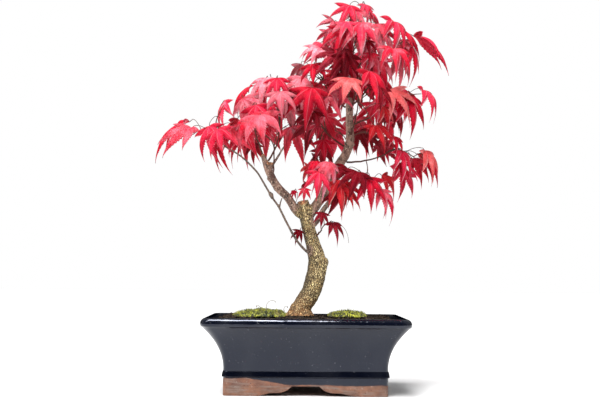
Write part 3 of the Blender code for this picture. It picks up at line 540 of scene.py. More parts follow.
TREE_FOOT = SOIL_TOP + 0.0003
FLARE_RADIUS = 0.0028
FLARE_FALL = 0.0045
KNOT_STEPS = 12
WHIP_SHARE = 0.84
SKIN_SIZE = 0.00055
BOUGH_AGE = 0.45
NEAR_POINTS = 14
THINNEST = 0.0012
THICK = 0.0050
RIDGE_SHARE = 0.050
PIT_SHARE = 0.025
RING_SHARE = 0.035
KNOB_SHARE = 0.13
LEAST_PIT = 0.00006
CUT_RELIEF = 0.0009
# Knots of each limb from its root out, with the radius at each.
LIMBS = {
    "trunk": (
        (-0.0060, 0.000, TREE_FOOT, 0.0094), (-0.0058, 0.000, 0.0765, 0.0094),
        (-0.0040, 0.000, 0.0830, 0.0092), (0.0053, 0.002, 0.0990, 0.0096),
        (0.0098, 0.004, 0.1150, 0.0097), (0.0116, 0.004, 0.1270, 0.0094),
        (0.0093, 0.003, 0.1373, 0.0082), (0.0059, 0.001, 0.1489, 0.0072),
        (0.0022, 0.000, 0.1615, 0.0066), (-0.0002, 0.000, 0.1740, 0.0070),
        (-0.0017, 0.000, 0.1815, 0.0070), (-0.0048, 0.000, 0.1885, 0.0046)),
    "bough_left": (
        (-0.0010, 0.000, 0.1730, 0.0046), (-0.0101, -0.002, 0.1794, 0.0043),
        (-0.0189, -0.004, 0.1924, 0.0041), (-0.0280, -0.005, 0.2013, 0.0041),
        (-0.0352, -0.006, 0.2123, 0.0040), (-0.0394, -0.006, 0.2215, 0.0037),
        (-0.0450, -0.006, 0.2360, 0.0020)),
    "bough_leader": (
        (0.0000, 0.000, 0.1730, 0.0054), (0.0054, 0.000, 0.1797, 0.0053),
        (0.0100, 0.002, 0.1859, 0.0051), (0.0175, 0.004, 0.1979, 0.0050),
        (0.0256, 0.006, 0.2139, 0.0049), (0.0322, 0.008, 0.2268, 0.0047),
        (0.0389, 0.009, 0.2374, 0.0046), (0.0436, 0.010, 0.2507, 0.0045),
        (0.0433, 0.010, 0.2691, 0.0040), (0.0432, 0.010, 0.2846, 0.0037),
        (0.0424, 0.010, 0.2970, 0.0034)),
    "bough_low_right": (
        (0.0022, 0.000, 0.1610, 0.0028), (0.0099, -0.003, 0.1685, 0.0027),
        (0.0148, -0.007, 0.1774, 0.0026), (0.0242, -0.012, 0.1897, 0.0024),
        (0.0380, -0.015, 0.2000, 0.0020), (0.0500, -0.017, 0.2060, 0.0016)),
    "whip_left": (
        (0.0090, -0.001, 0.1330, 0.0017), (0.0002, -0.008, 0.1386, 0.0016),
        (-0.0100, -0.011, 0.1499, 0.0015), (-0.0192, -0.014, 0.1657, 0.0014),
        (-0.0276, -0.017, 0.1819, 0.0013), (-0.0347, -0.019, 0.1921, 0.0013),
        (-0.0427, -0.021, 0.2053, 0.0012), (-0.0499, -0.022, 0.2167, 0.0012),
        (-0.0615, -0.023, 0.2285, 0.0011), (-0.0691, -0.023, 0.2344, 0.0011),
        (-0.0788, -0.023, 0.2403, 0.0010)),
}
# Stubs, knobs and collars where branches were taken off.
SNAGS = (
    ((-0.0385, -0.006, 0.2190, 0.0036), (-0.0372, -0.007, 0.2280, 0.0035)),
    ((-0.0360, -0.006, 0.2235, 0.0014), (-0.0300, -0.006, 0.2330, 0.0011),
     (-0.0235, -0.006, 0.2440, 0.0008)),
    ((0.0100, 0.003, 0.1250, 0.0088), (0.0148, 0.003, 0.1272, 0.0080),
     (0.0182, 0.002, 0.1287, 0.0062), (0.0208, 0.002, 0.1297, 0.0038),
     (0.0220, 0.002, 0.1301, 0.0014)),
    ((-0.0272, -0.0168, 0.1812, 0.0009), (-0.0262, -0.0185, 0.1870, 0.0008),
     (-0.0245, -0.0195, 0.1915, 0.0006)),
    ((-0.0290, -0.005, 0.2020, 0.0044), (-0.0302, -0.008, 0.2040, 0.0040)),
    ((-0.0180, -0.004, 0.1905, 0.0043), (-0.0165, -0.006, 0.1925, 0.0038)),
    ((-0.0356, -0.006, 0.2120, 0.0044), (-0.0385, -0.007, 0.2140, 0.0036)),
    ((0.0418, 0.010, 0.2470, 0.0052), (0.0452, 0.009, 0.2520, 0.0051)),
    ((-0.0340, -0.019, 0.1905, 0.0014), (-0.0356, -0.020, 0.1945, 0.0024),
     (-0.0375, -0.021, 0.1968, 0.0013)),
    ((-0.0020, -0.001, 0.1800, 0.0066), (-0.0040, -0.003, 0.1895, 0.0056)),
)
# Old cuts, where the wood is bare and orange: the collar at the fork and two stubs.
WOUNDS = (
    ((-0.0045, -0.0070, 0.1902), 0.0066), ((-0.0372, -0.0095, 0.2286), 0.0050),
    ((-0.0452, -0.006, 0.2365), 0.0040))
# Surface roots round the foot: direction in degrees and reach.
ROOTS = (
    (200, 0.0175), (250, 0.0145), (20, 0.0150), (100, 0.0150), (310, 0.0145), (155, 0.0155),
    (60, 0.0140), (345, 0.0150))


def smooth_path(knots):
    """Even points and radii on a smooth curve through the knots."""
    fine = []
    for i in range(len(knots) - 1):
        before = knots[max(i - 1, 0)]
        start = knots[i]
        end = knots[i + 1]
        after = knots[min(i + 2, len(knots) - 1)]
        for step in range(KNOT_STEPS):
            t = step / KNOT_STEPS
            fine.append([
                0.5 * (2 * b + (c - a) * t + (2 * a - 5 * b + 4 * c - d) * t * t
                       + (3 * b - a - 3 * c + d) * t ** 3)
                for a, b, c, d in zip(before, start, end, after)
            ])
    fine.append(list(knots[-1]))
    return [(Vector(p[:3]), p[3]) for p in fine]


paths = {name: smooth_path(knots) for name, knots in LIMBS.items()}
paths["trunk"] = [
    (place, radius + FLARE_RADIUS * math.exp((TREE_FOOT - place.z) / FLARE_FALL))
    for place, radius in paths["trunk"]]

strands = []
for name, path in paths.items():
    share = WHIP_SHARE if name == "whip_left" else 1.0
    strands.append(([place for place, _ in path], [radius * share for _, radius in path], 0))
strands[0][0].insert(0, strands[0][0][0] - Vector((0, 0, 0.004)))
strands[0][1].insert(0, strands[0][1][0])
for knots in SNAGS:
    strands.append(([Vector(k[:3]) for k in knots], [k[3] for k in knots], 0))
foot = Vector((-0.006, 0.0, TREE_FOOT))
for turn, reach in ROOTS:
    way = Vector((math.cos(math.radians(turn)), math.sin(math.radians(turn)), 0))
    strands.append((
        [foot + way * 0.004 + Vector((0, 0, 0.009)), foot + way * 0.0085 + Vector((0, 0, 0.003)),
         foot + way * reach - Vector((0, 0, 0.003))], [0.0050, 0.0040, 0.0016], 0))
bark_solid = finished("bark_of_trunk_and_boughs", tubes("limbs", strands, 8), smooth=0)
skin = bark_solid.modifiers.new("skin", "REMESH")
skin.mode = "VOXEL"
skin.voxel_size = SKIN_SIZE
applied(bark_solid)

axis_points = []
for name, path in paths.items():
    for place, radius in path:
        buried = name != "trunk" and any(
            (place - centre).length < reach + 0.0008 for centre, reach in paths["trunk"])
        if not buried:
            axis_points.append((place, radius, 1.0 if name == "trunk" else BOUGH_AGE))
girths = KDTree(len(axis_points))
for index, (place, _, _) in enumerate(axis_points):
    girths.insert(place, index)
girths.balance()
shell = bmesh.new()
shell.from_mesh(bark_solid.data)
bpy.data.objects.remove(bark_solid)
bmesh.ops.translate(shell, vec=-SHIFT, verts=shell.verts)
for _ in range(2):
    bmesh.ops.smooth_vert(
        shell, verts=shell.verts, factor=0.5, use_axis_x=True, use_axis_y=True, use_axis_z=True)
cut_level(shell, TREE_FOOT)
girth_layer = shell.verts.layers.float.new("girth")
cut_layer = shell.verts.layers.float.new("cut")
painted_shade_layer = shell.verts.layers.float.new("painted_shade")
shell.normal_update()
for vertex in shell.verts:
    near = [axis_points[index] for _, index, _ in girths.find_n(vertex.co, NEAR_POINTS)]
    radius = sum(item[1] for item in near) / len(near)
    age = sum(item[2] for item in near) / len(near)
    vertex[girth_layer] = age * min(1.0, max(0.0, (radius - THINNEST) / THICK))
    spot = vertex.co
    ridges = noise.fractal(Vector((spot.x * 300, spot.y * 300, spot.z * 150)), 1.0, 2.0, 3)
    pits = noise.noise(Vector((spot.x * 900, spot.y * 900, spot.z * 520)))
    rings = noise.noise(Vector((spot.z * 130, radius * 40, 3.0)))
    knobs = noise.noise(spot * 110) * (1 - age)
    vertex[cut_layer] = max(
        max(0.0, 1 - (spot - Vector(wound)).length / reach) for wound, reach in WOUNDS)
    # Vertices that face left, towards -x, get a higher shade value: painted shade on that side of
    # the trunk.
    vertex[painted_shade_layer] = max(0.0, -vertex.normal.x + 0.5 * noise.noise(spot * 90)) * age
    if vertex[cut_layer] > 0.25:
        vertex.co += vertex.normal * CUT_RELIEF * noise.noise(spot * 620)
    if spot.z > TREE_FOOT + 0.0004:
        vertex.co += vertex.normal * (
            radius * (RIDGE_SHARE * ridges + PIT_SHARE * pits + RING_SHARE * rings
                      + KNOB_SHARE * knobs) + LEAST_PIT * pits)
bmesh.ops.edgeloop_fill(shell, edges=open_edges(shell))
bark = Finish("tan_flecked_bark", {"Roughness": 0.80})
girth = bark.attribute("girth")
age = bark.fade(girth, 0.30, 0.75)
height = bark.axis("Z")
fleck = bark.grain(0.0010, 4.0, (1.0, 1.0, 0.50), 0.65)
cracks = bark.cells(0.0020, (1.0, 1.0, 0.60), "DISTANCE_TO_EDGE")
old = bark.mix(
    bark.patches(0.36, 0.64, 0.009, 4.0), (0.130, 0.074, 0.024), (0.390, 0.255, 0.090))
# The trunk's left-facing side is painted darker and its flecks fainter: painted shade.
painted_shade = bark.fade(bark.attribute("painted_shade"), 0.05, 0.80)
old = bark.mix(painted_shade * 0.85, old, (0.060, 0.046, 0.022))
dense = bark.patches(0.30, 0.62, 0.012, 3.0) * 0.65 + 0.35
old = bark.mix(
    bark.fade(fleck, 0.47, 0.56) * (1.0 - painted_shade * 0.75) * dense, old, (0.960, 0.780, 0.410))
pits = bark.patches(0.53, 0.62, 0.0024, 4.0, (1.0, 1.0, 0.55), 0.60)
old = bark.mix(pits * 0.65, old, (0.065, 0.040, 0.016))
old = bark.mix(bark.fade(cracks, 0.15, 0.03) * 0.85, old, (0.040, 0.025, 0.012))
rust = bark.fade(height + bark.grain(0.008) * 0.012, 0.104, 0.080)
rusty = bark.mix(
    bark.patches(0.40, 0.62, 0.0022, 4.0), (0.110, 0.042, 0.018), (0.520, 0.235, 0.085))
old = bark.mix(rust * 0.65, old, rusty)
young = bark.mix(
    bark.patches(0.36, 0.64, 0.007, 4.0, (1.0, 1.0, 0.30)), (0.105, 0.052, 0.040),
    (0.430, 0.270, 0.200))
young = bark.mix(
    bark.patches(0.52, 0.62, 0.0030, 4.0, (1.0, 1.0, 0.5)) * 0.8, young,
    (0.055, 0.034, 0.026))
young = bark.mix(bark.patches(0.58, 0.66, 0.0019, 2.0) * 0.9, young, (0.56, 0.40, 0.30))
young = bark.mix(bark.fade(girth, 0.19, 0.06) * 0.65, young, (0.075, 0.060, 0.050))
wood = bark.mix(age, young, old)
cut = bark.attribute("cut")
cut = bark.fade(cut + (bark.grain(0.0022, 3.0) - 0.5) * 0.5, 0.20, 0.34)
wood = bark.mix(cut * 0.85, wood, bark.mix(
    bark.patches(0.42, 0.60, 0.0016, 3.0), (0.075, 0.028, 0.014), (0.560, 0.250, 0.105)))
bark.feed("Base Color", wood)
bark.relief(
    fleck * 0.7 + bark.fade(cracks, 0.0, 0.20) * 0.8 + bark.grain(0.0007, 2.0) * 0.3 - pits * 0.5,
    0.0008)
declare(
    finished("bark_of_trunk_and_boughs", shell, bark.material, smooth=0), "bark", *LIMBS)

# Every bough ends in sprays of leaves. A spray grows from one stem that forks into shoots.
# Each shoot carries a leading leaf and pairs of leaves behind it, which hang outward on thin
# dark red stalks. The rule and seeds are those of the solids, carried on to finer pairs.

LOBES = ((-76, 0.46), (-37, 0.84), (0, 1.00), (37, 0.84), (76, 0.46))
LOBE_NOTCH = 0.37
LOBE_MIDDLE = 0.52
BASE_ANGLE = 17
LEAF_THICKNESS = 0.0009
DROOP = (0.22, 0.50)
LEAST_HANG = 32.0
SAG_SHORTENING = 0.3
STALK_LEAD = 0.0014
STALK_COLLAR = 0.06
SHARPEST_TURN = -0.10
PETIOLE_LENGTH = 0.020
PETIOLE_RADIUS = 0.00055
STEM_RADIUS = 0.0014
TWIG_RADIUS = 0.0011
TWIG_TIP_RADIUS = 0.0007
TWIG_SIDES = 3
LEAF_CLEARANCE = 0.0005
LEAF_TRIES = 16
STEM_PULL = 0.45
SHOOT_PULL = 0.30
SHOOT_LIFT = 0.22
SHOOT_SWAY = 0.08
SHOOT_SINK = 0.0012
TIP_SINK = 0.0030
TIP_STALK = 0.0060
TIP_SWAY = 0.3
TIP_PULL = 0.4
TIP_HANG = 58.0
PAIR_REACH = (0.6, 1.1)
PAIR_SIZE = (0.75, 1.05)
PAIR_SWAY = 0.9
PAIR_PULL = 0.8
PAIR_HANG = 72.0
FACE_SWAY = 0.35
ROOT_SHARE = 0.6
TIP_SHARE = 0.75
SPACE_MARGIN = 1.20
SPACE_DROP = 0.35
# Pairs of leaves on each shoot: their places along it, their size, and the round they grow in.
ROUNDS = (((0.72,), 1.0, 1), ((0.45, 0.90), 0.72, 2))
# Boxes of open sky between the sprays that no leaf grows into.
OPEN_SKY = (
    ((-0.036, -0.012), (-0.060, 0.060), (0.190, 0.249)),
    ((0.000, 0.011), (-0.090, 0.090), (0.248, 0.259)),
    ((0.051, 0.071), (-0.090, 0.090), (0.218, 0.241)),
    ((0.091, 0.160), (-0.090, 0.090), (0.252, 0.262)),
    ((0.120, 0.160), (-0.090, 0.090), (0.245, 0.274)),
    ((0.035, 0.052), (-0.090, -0.004), (0.226, 0.284)),
    ((-0.170, -0.050), (-0.090, 0.090), (0.150, 0.222)),
)
# Each spray: its limb and place along it, the way it leaves, its fork, each shoot's tip with
# the length of the leaf there, and its seed.
MASSES = {
    "foliage_far_left": (
        "whip_left", 1.0, (-1, 0, 0.4), (-0.087, -0.024, 0.247),
        ((-0.117, 0.006, 0.257, 0.062), (-0.084, -0.022, 0.283, 0.038),
         (-0.098, -0.042, 0.252, 0.042), (-0.090, 0.002, 0.264, 0.044)),
        5131),
    "foliage_left": (
        "bough_left", 1.0, (-0.4, 0, 1), (-0.052, -0.008, 0.256),
        ((-0.063, -0.026, 0.281, 0.055), (-0.048, -0.036, 0.272, 0.048),
         (-0.060, 0.022, 0.276, 0.044)),
        1061),
    "foliage_left_crest": (
        "bough_left", 0.90, (1, 0.2, 0.4), (-0.028, -0.002, 0.266),
        ((-0.038, -0.012, 0.317, 0.044), (-0.048, 0.000, 0.305, 0.042),
         (-0.028, -0.034, 0.294, 0.036), (-0.022, 0.026, 0.296, 0.042)),
        71),
    "foliage_upper_left": (
        "bough_leader", 0.93, (-1, -0.1, 0), (0.017, 0.002, 0.310),
        ((0.003, -0.004, 0.317, 0.046), (0.006, -0.028, 0.305, 0.046),
         (0.025, -0.006, 0.337, 0.040), (0.004, 0.028, 0.322, 0.042)),
        3071),
    "foliage_top": (
        "bough_leader", 1.0, (0, 0, 1), (0.044, 0.008, 0.334),
        ((0.056, -0.006, 0.394, 0.036), (0.052, -0.026, 0.366, 0.040),
         (0.034, 0.020, 0.368, 0.038), (0.060, 0.028, 0.364, 0.040)),
        5191),
    "foliage_top_right": (
        "bough_leader", 0.95, (1, 0, 0), (0.072, 0.006, 0.328),
        ((0.082, -0.010, 0.369, 0.042), (0.106, 0.010, 0.360, 0.052),
         (0.082, -0.032, 0.340, 0.040), (0.092, 0.030, 0.350, 0.040)),
        2041),
    "foliage_right": (
        "bough_leader", 0.80, (1, -0.2, 0), (0.076, 0.004, 0.284),
        ((0.117, 0.010, 0.302, 0.041), (0.096, -0.020, 0.296, 0.042),
         (0.088, 0.032, 0.296, 0.040), (0.100, -0.004, 0.286, 0.034)),
        5061),
    "foliage_front": (
        "bough_leader", 0.72, (0.2, -1, 0), (0.050, -0.022, 0.282),
        ((0.044, -0.038, 0.306, 0.042), (0.062, -0.038, 0.268, 0.032),
         (0.072, -0.034, 0.298, 0.040)),
        3031),
    "foliage_centre_left": (
        "bough_leader", 0.62, (-1, -0.2, 0), (0.019, 0.000, 0.260),
        ((0.002, -0.010, 0.268, 0.042), (0.020, -0.026, 0.280, 0.040),
         (0.008, 0.026, 0.276, 0.040), (0.012, -0.006, 0.244, 0.034)),
        3041),
    "foliage_inner": (
        "bough_leader", 0.90, (0.3, -1, 0), (0.050, -0.012, 0.318),
        ((0.036, -0.020, 0.336, 0.038), (0.062, -0.014, 0.334, 0.038)),
        2061),
    "foliage_low_front": (
        "bough_leader", 0.28, (-0.2, -1, 0), (0.018, -0.024, 0.208),
        ((0.010, -0.040, 0.222, 0.036), (-0.004, -0.022, 0.200, 0.020),
         (0.026, -0.038, 0.210, 0.034), (0.002, -0.024, 0.222, 0.028)),
        3121),
    "foliage_low_right": (
        "bough_low_right", 1.0, (1, 0, 0.3), (0.056, -0.020, 0.208),
        ((0.053, -0.034, 0.216, 0.037), (0.036, -0.034, 0.211, 0.034),
         (0.069, -0.018, 0.204, 0.040), (0.060, 0.004, 0.232, 0.030)),
        2011),
    "foliage_far_right": (
        "bough_leader", 0.52, (1, -0.2, 0), (0.080, 0.000, 0.238),
        ((0.090, -0.014, 0.242, 0.034), (0.110, 0.000, 0.234, 0.042),
         (0.096, -0.022, 0.228, 0.036), (0.096, 0.026, 0.232, 0.038)),
        41),
    "foliage_back_top": (
        "bough_leader", 0.88, (0, 1, 0), (0.040, 0.036, 0.300),
        ((0.014, 0.046, 0.312, 0.040), (0.044, 0.054, 0.326, 0.042),
         (0.072, 0.046, 0.310, 0.040)),
        3081),
    "foliage_back": (
        "bough_leader", 0.58, (0.1, 1, 0), (0.042, 0.036, 0.252),
        ((0.020, 0.046, 0.272, 0.040), (0.050, 0.056, 0.284, 0.042),
         (0.076, 0.046, 0.266, 0.040)),
        2101),
    "foliage_back_left": (
        "bough_left", 0.62, (-0.3, 1, 0.2), (-0.034, 0.028, 0.246),
        ((-0.050, 0.038, 0.262, 0.042), (-0.022, 0.044, 0.272, 0.042)),
        91),
    "twig_low": (
        "trunk", 0.70, (1, -0.7, 0.1), (0.015, -0.013, 0.160),
        ((0.020, -0.018, 0.166, 0.023),),
        91),
}
# Sprays that grow in the first round only and stay as open as the solids.
OPEN_MASSES = (
    "foliage_far_left", "foliage_left", "foliage_left_crest", "foliage_top_right",
    "foliage_low_front", "foliage_low_right", "foliage_upper_left", "foliage_right",
    "foliage_far_right", "foliage_centre_left", "foliage_front", "twig_low")
# Each spray's weights of crimson, rose, maroon, scarlet and pale leaves. Rose, partly a lit and
# pinker copy of crimson, goes mostly to the top and outer sprays as a painted sheen; maroon, a
# shaded copy of crimson, goes mostly to the inner, back and low sprays as painted shade.
SPRAYS = {
    "foliage_far_left": (6, 4, 0, 0, 0), "foliage_left": (6, 5, 0, 0, 0),
    "foliage_left_crest": (5, 4, 2, 1, 2), "foliage_upper_left": (4, 6, 0, 0, 2),
    "foliage_top": (5, 7, 0, 0, 1), "foliage_top_right": (5, 8, 0, 0, 1),
    "foliage_right": (5, 3, 1, 3, 0), "foliage_front": (3, 1, 3, 3, 0),
    "foliage_centre_left": (2, 0, 6, 1, 0), "foliage_inner": (2, 0, 7, 1, 0),
    "foliage_low_front": (4, 2, 2, 2, 0), "foliage_low_right": (2, 1, 4, 4, 0),
    "foliage_far_right": (5, 6, 0, 1, 0), "foliage_back_top": (4, 2, 4, 0, 0),
    "foliage_back": (4, 2, 4, 0, 0), "foliage_back_left": (5, 2, 3, 0, 0),
    "twig_low": (0, 0, 1, 0, 0),
}


def along(path, distance):
    """Point, radius and direction at a distance along a path."""
    for (a, radius_a), (b, radius_b) in zip(path, path[1:]):
        piece = (b - a).length
        if distance <= piece:
            t = distance / piece
            return a.lerp(b, t), radius_a + (radius_b - radius_a) * t, (b - a).normalized()
        distance -= piece
    a, b = path[-2], path[-1]
    return b[0].copy(), b[1], (b[0] - a[0]).normalized()


def bend(points, count):
    """Even points on a quadratic curve through a start, a pull and an end."""
    start, pull, end = points
    return [
        start * (1 - t) ** 2 + pull * 2 * t * (1 - t) + end * t * t
        for t in (i / count for i in range(count + 1))
    ]


def twig_geometry(points, radius, tip_radius, side=Vector((0.3, 0.2, 1.0))):
    """A three-sided stand-in for a twig, for the test of what touches what."""
    verts = []
    faces = []
    last = len(points) - 1
    for i, point in enumerate(points):
        ahead = points[min(i + 1, last)] - points[max(i - 1, 0)]
        ahead.normalize()
        side = side - ahead * side.dot(ahead)
        side.normalize()
        across = ahead.cross(side)
        width = radius + (tip_radius - radius) * i / last
        for corner in range(TWIG_SIDES):
            angle = math.tau * corner / TWIG_SIDES
            verts.append(point + (side * math.cos(angle) + across * math.sin(angle)) * width)
    for i in range(last):
        for corner in range(TWIG_SIDES):
            a = i * TWIG_SIDES + corner
            b = i * TWIG_SIDES + (corner + 1) % TWIG_SIDES
            faces.append((a, b, b + TWIG_SIDES, a + TWIG_SIDES))
    faces.append((2, 1, 0))
    faces.append(tuple(last * TWIG_SIDES + corner for corner in range(TWIG_SIDES)))
    return verts, faces


def leaf_stand_in(stalk, ahead, face, length, droop):
    """The plain leaf of the solids, for the test of what touches what."""
    side = face.cross(ahead)
    half = LEAF_THICKNESS / 2
    collar = stalk[-1] + ahead * STALK_LEAD
    apex = collar + ahead * (STALK_COLLAR * length)

    def place(angle, out, lift):
        turned = math.radians(angle)
        lobe = ahead * math.cos(turned) + side * math.sin(turned)
        sag = droop * out * out / length
        return apex + lobe * (out - SAG_SHORTENING * droop * sag) + face * (lift - sag)

    verts, faces = twig_geometry(
        [collar, *reversed(stalk)], PETIOLE_RADIUS, PETIOLE_RADIUS, face)
    faces.remove((2, 1, 0))
    top = len(verts)
    under = top + 1
    verts += [apex + face * half, apex - face * half]
    angles = [angle for angle, _ in LOBES]
    between = [(a + b) / 2 for a, b in zip(angles, angles[1:])]
    notches = [len(verts) + i for i in range(len(LOBES) + 1)]
    verts.append(place(angles[0] - BASE_ANGLE, length * LOBE_NOTCH / 2, 0.0))
    verts += [place(angle, length * LOBE_NOTCH, 0.0) for angle in between]
    verts.append(place(angles[-1] + BASE_ANGLE, length * LOBE_NOTCH / 2, 0.0))
    for i, (angle, share) in enumerate(LOBES):
        reach = length * share
        rib = len(verts)
        verts.append(place(angle, reach * LOBE_MIDDLE, half))
        verts.append(place(angle, reach * LOBE_MIDDLE, -half))
        verts.append(place(angle, reach, 0.0))
        low, high = notches[i], notches[i + 1]
        for centre, middle in ((top, rib), (under, rib + 1)):
            faces += [(centre, low, middle), (middle, low, rib + 2)]
            faces += [(middle, rib + 2, high), (centre, middle, high)]
    left, right = notches[0], notches[-1]
    faces += [(0, top, left), (0, right, top), (0, left, 2)]
    faces += [(0, 1, right), (2, left, under), (1, under, right), (2, under, 1)]
    return verts, faces


class Grown:
    """One grown piece with the sphere that holds it and its search tree."""

    def __init__(self, geometry, owner=None, hard=True):
        self.owner = owner
        self.hard = hard
        self.verts, self.faces = geometry
        self.middle = sum(self.verts, Vector()) / len(self.verts)
        self.radius = max((v - self.middle).length for v in self.verts)
        self.tree = BVHTree.FromPolygons(self.verts, self.faces, epsilon=LEAF_CLEARANCE)

    def touches(self, other):
        reach = self.radius + other.radius + LEAF_CLEARANCE
        if (self.middle - other.middle).length > reach:
            return False
        return bool(self.tree.overlap(other.tree))


def grow_twigs(mass):
    """The stem from its limb to the fork, and a shoot from the fork to each tip."""
    limb, share, side, fork, tips, seed = mass
    rng = random.Random(seed)
    path = paths[limb]
    whole = sum((b[0] - a[0]).length for a, b in zip(path, path[1:]))
    start, radius, ahead = along(path, whole * share)
    if share == 1.0:
        start = start + ahead * 0.0003
    else:
        side = Vector(side)
        side = (side - ahead * side.dot(ahead)).normalized()
        start, ahead = start + side * (radius + 0.00042), side
    fork = Vector(fork)
    run = (fork - start).length
    stem = (start, start + ahead * run * STEM_PULL, fork)
    heading = bend(stem, 3)
    heading = (heading[-1] - heading[-2]).normalized()
    shoots = []
    for tip in tips:
        tip = Vector(tip[:3])
        reach = (tip - fork).length
        pull = fork + heading * reach * SHOOT_PULL + Vector((0, 0, reach * SHOOT_LIFT))
        pull += Vector([rng.uniform(-SHOOT_SWAY, SHOOT_SWAY) * reach for _ in range(3)])
        shoots.append((fork - heading * SHOOT_SINK, pull, tip))
    return stem, shoots


def hanging(rng, apex, level, pull, steepest):
    """The way a leaf's middle lobe points and the way its upper face looks."""
    up = Vector((0, 0, 1))
    outward = apex - Vector((0.015, 0.010, 0.0))
    outward = Vector((outward.x / 0.150 ** 2, outward.y / 0.085 ** 2, 0.0)).normalized()
    level = (Vector((level.x, level.y, 0.0)).normalized() + outward * pull).normalized()
    hang = math.radians(rng.uniform(LEAST_HANG, steepest))
    ahead = level * math.cos(hang) - up * math.sin(hang)
    face = outward + up * 0.7 + level * 0.2
    face += Vector([rng.uniform(-FACE_SWAY, FACE_SWAY) for _ in range(3)])
    return ahead, (face - ahead * face.dot(ahead)).normalized()


def leading_leaf(rng, shoot, length):
    """The leaf at a shoot's tip, on a short petiole that goes on from it."""
    heading = (shoot[-1] - shoot[-2]).normalized()
    stalk = [shoot[-1] - heading * TIP_SINK, shoot[-1] + heading * TIP_STALK]
    sway = Vector([rng.uniform(-TIP_SWAY, TIP_SWAY) for _ in range(3)])
    ahead, face = hanging(rng, stalk[-1], heading + sway, TIP_PULL, TIP_HANG)
    return stalk, ahead, face, length * rng.uniform(0.95, 1.05)


def side_leaf(rng, shoot, place, around, length):
    """A petiole from a point on a shoot, and the leaf that hangs from its end."""
    index = place * (len(shoot) - 1)
    low = min(int(index), len(shoot) - 2)
    point = shoot[low].lerp(shoot[low + 1], index - low)
    heading = (shoot[low + 1] - shoot[low]).normalized()
    up = Vector((0, 0, 1))
    side = heading.cross(up)
    if side.length < 0.1:
        side = Vector((1, 0, 0))
    side.normalize()
    radial = side * math.cos(around) + side.cross(heading) * math.sin(around)
    reach = PETIOLE_LENGTH * rng.uniform(*PAIR_REACH)
    out = (radial * 0.9 + heading * 0.55 + up * 0.25).normalized()
    apex = point + out * reach + up * reach * 0.10
    ahead, face = hanging(rng, apex, out, PAIR_PULL, PAIR_HANG)
    arch = point + out * reach * 0.55 + up * reach * 0.22
    return [point, arch, apex], ahead, face, length * rng.uniform(*PAIR_SIZE)


def try_leaf(rng, make, space, owner):
    """The first of several tries that keeps to its space and touches nothing."""
    centre, radii = space
    for _ in range(LEAF_TRIES):
        stalk, ahead, face, size = make()
        droop = rng.uniform(*DROOP)
        if (stalk[-1] - stalk[-2]).normalized().dot(ahead) < SHARPEST_TURN:
            continue
        piece = leaf_stand_in(stalk, ahead, face, size, droop)
        if any(outside(v, centre, radii) for v in piece[0]):
            continue
        whole = Grown(piece, owner)
        rootless = [stalk[0].lerp(stalk[1], ROOT_SHARE), *stalk[1:]]
        free = Grown(leaf_stand_in(rootless, ahead, face, size, droop))
        if any(free.touches(o) for o in obstacles if o.owner == owner and o.hard):
            continue
        if not any(whole.touches(o) for o in obstacles if o.owner != owner):
            obstacles.append(free)
            free.owner = owner
            leaves[owner].append((stalk, ahead, face, size, droop))
            return


def outside(point, centre, radii):
    """True out of a mass's space, or in the open sky between the masses."""
    if any(all(low <= c <= high for c, (low, high) in zip(point, gap)) for gap in OPEN_SKY):
        return True
    return sum(((point[i] - centre[i]) / radii[i]) ** 2 for i in range(3)) > 1.0


def space_of(mass):
    """The space a mass keeps to: an ellipsoid round its tips, lowered for hanging leaves."""
    tips = mass[4]
    length = max(tip[3] for tip in tips)
    low = [min(tip[i] for tip in tips) for i in range(3)]
    high = [max(tip[i] for tip in tips) for i in range(3)]
    centre = Vector([(a + b) / 2 for a, b in zip(low, high)])
    radii = [(b - a) / 2 + length * SPACE_MARGIN for a, b in zip(low, high)]
    centre.z -= length * SPACE_DROP
    return centre, radii


obstacles = []
for name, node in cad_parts.items():
    if not name.startswith("foliage") and name != "twig_low":
        obstacles.append(Grown((
            [vertex.co - SHIFT for vertex in node.data.vertices],
            [tuple(face.vertices) for face in node.data.polygons])))
twigs = {name: grow_twigs(mass) for name, mass in MASSES.items()}
leaves = {name: [] for name in MASSES}
plain_shoots = {}
for name, (stem, shoots) in twigs.items():
    obstacles.append(Grown(twig_geometry(bend(stem, 3), STEM_RADIUS, TWIG_RADIUS), name))
    plain_shoots[name] = [bend(shoot, 3) for shoot in shoots]
    for shoot in plain_shoots[name]:
        before_tip = shoot[-2].lerp(shoot[-1], TIP_SHARE)
        for points, hard in (([*shoot[:-1], before_tip], True), (shoot[-2:], False)):
            obstacles.append(
                Grown(twig_geometry(points, TWIG_RADIUS, TWIG_TIP_RADIUS), name, hard))
for name, mass in MASSES.items():
    rng = random.Random(mass[5])
    for shoot, tip in zip(plain_shoots[name], mass[4]):
        try_leaf(rng, lambda: leading_leaf(rng, shoot, tip[3]), space_of(mass), name)
for places, share, round_number in ROUNDS:
    for name, mass in MASSES.items():
        if round_number == 2 and name in OPEN_MASSES:
            continue
        rng = random.Random(mass[5] + round_number)
        for shoot, tip in zip(plain_shoots[name], mass[4]):
            turn = rng.uniform(0.0, math.pi)
            for place in places:
                for half in (0.0, math.pi):
                    try_leaf(
                        rng,
                        lambda: side_leaf(
                            rng, shoot, place,
                            turn + half + rng.uniform(-PAIR_SWAY, PAIR_SWAY), tip[3] * share),
                        space_of(mass), name)
                turn += math.pi / 2
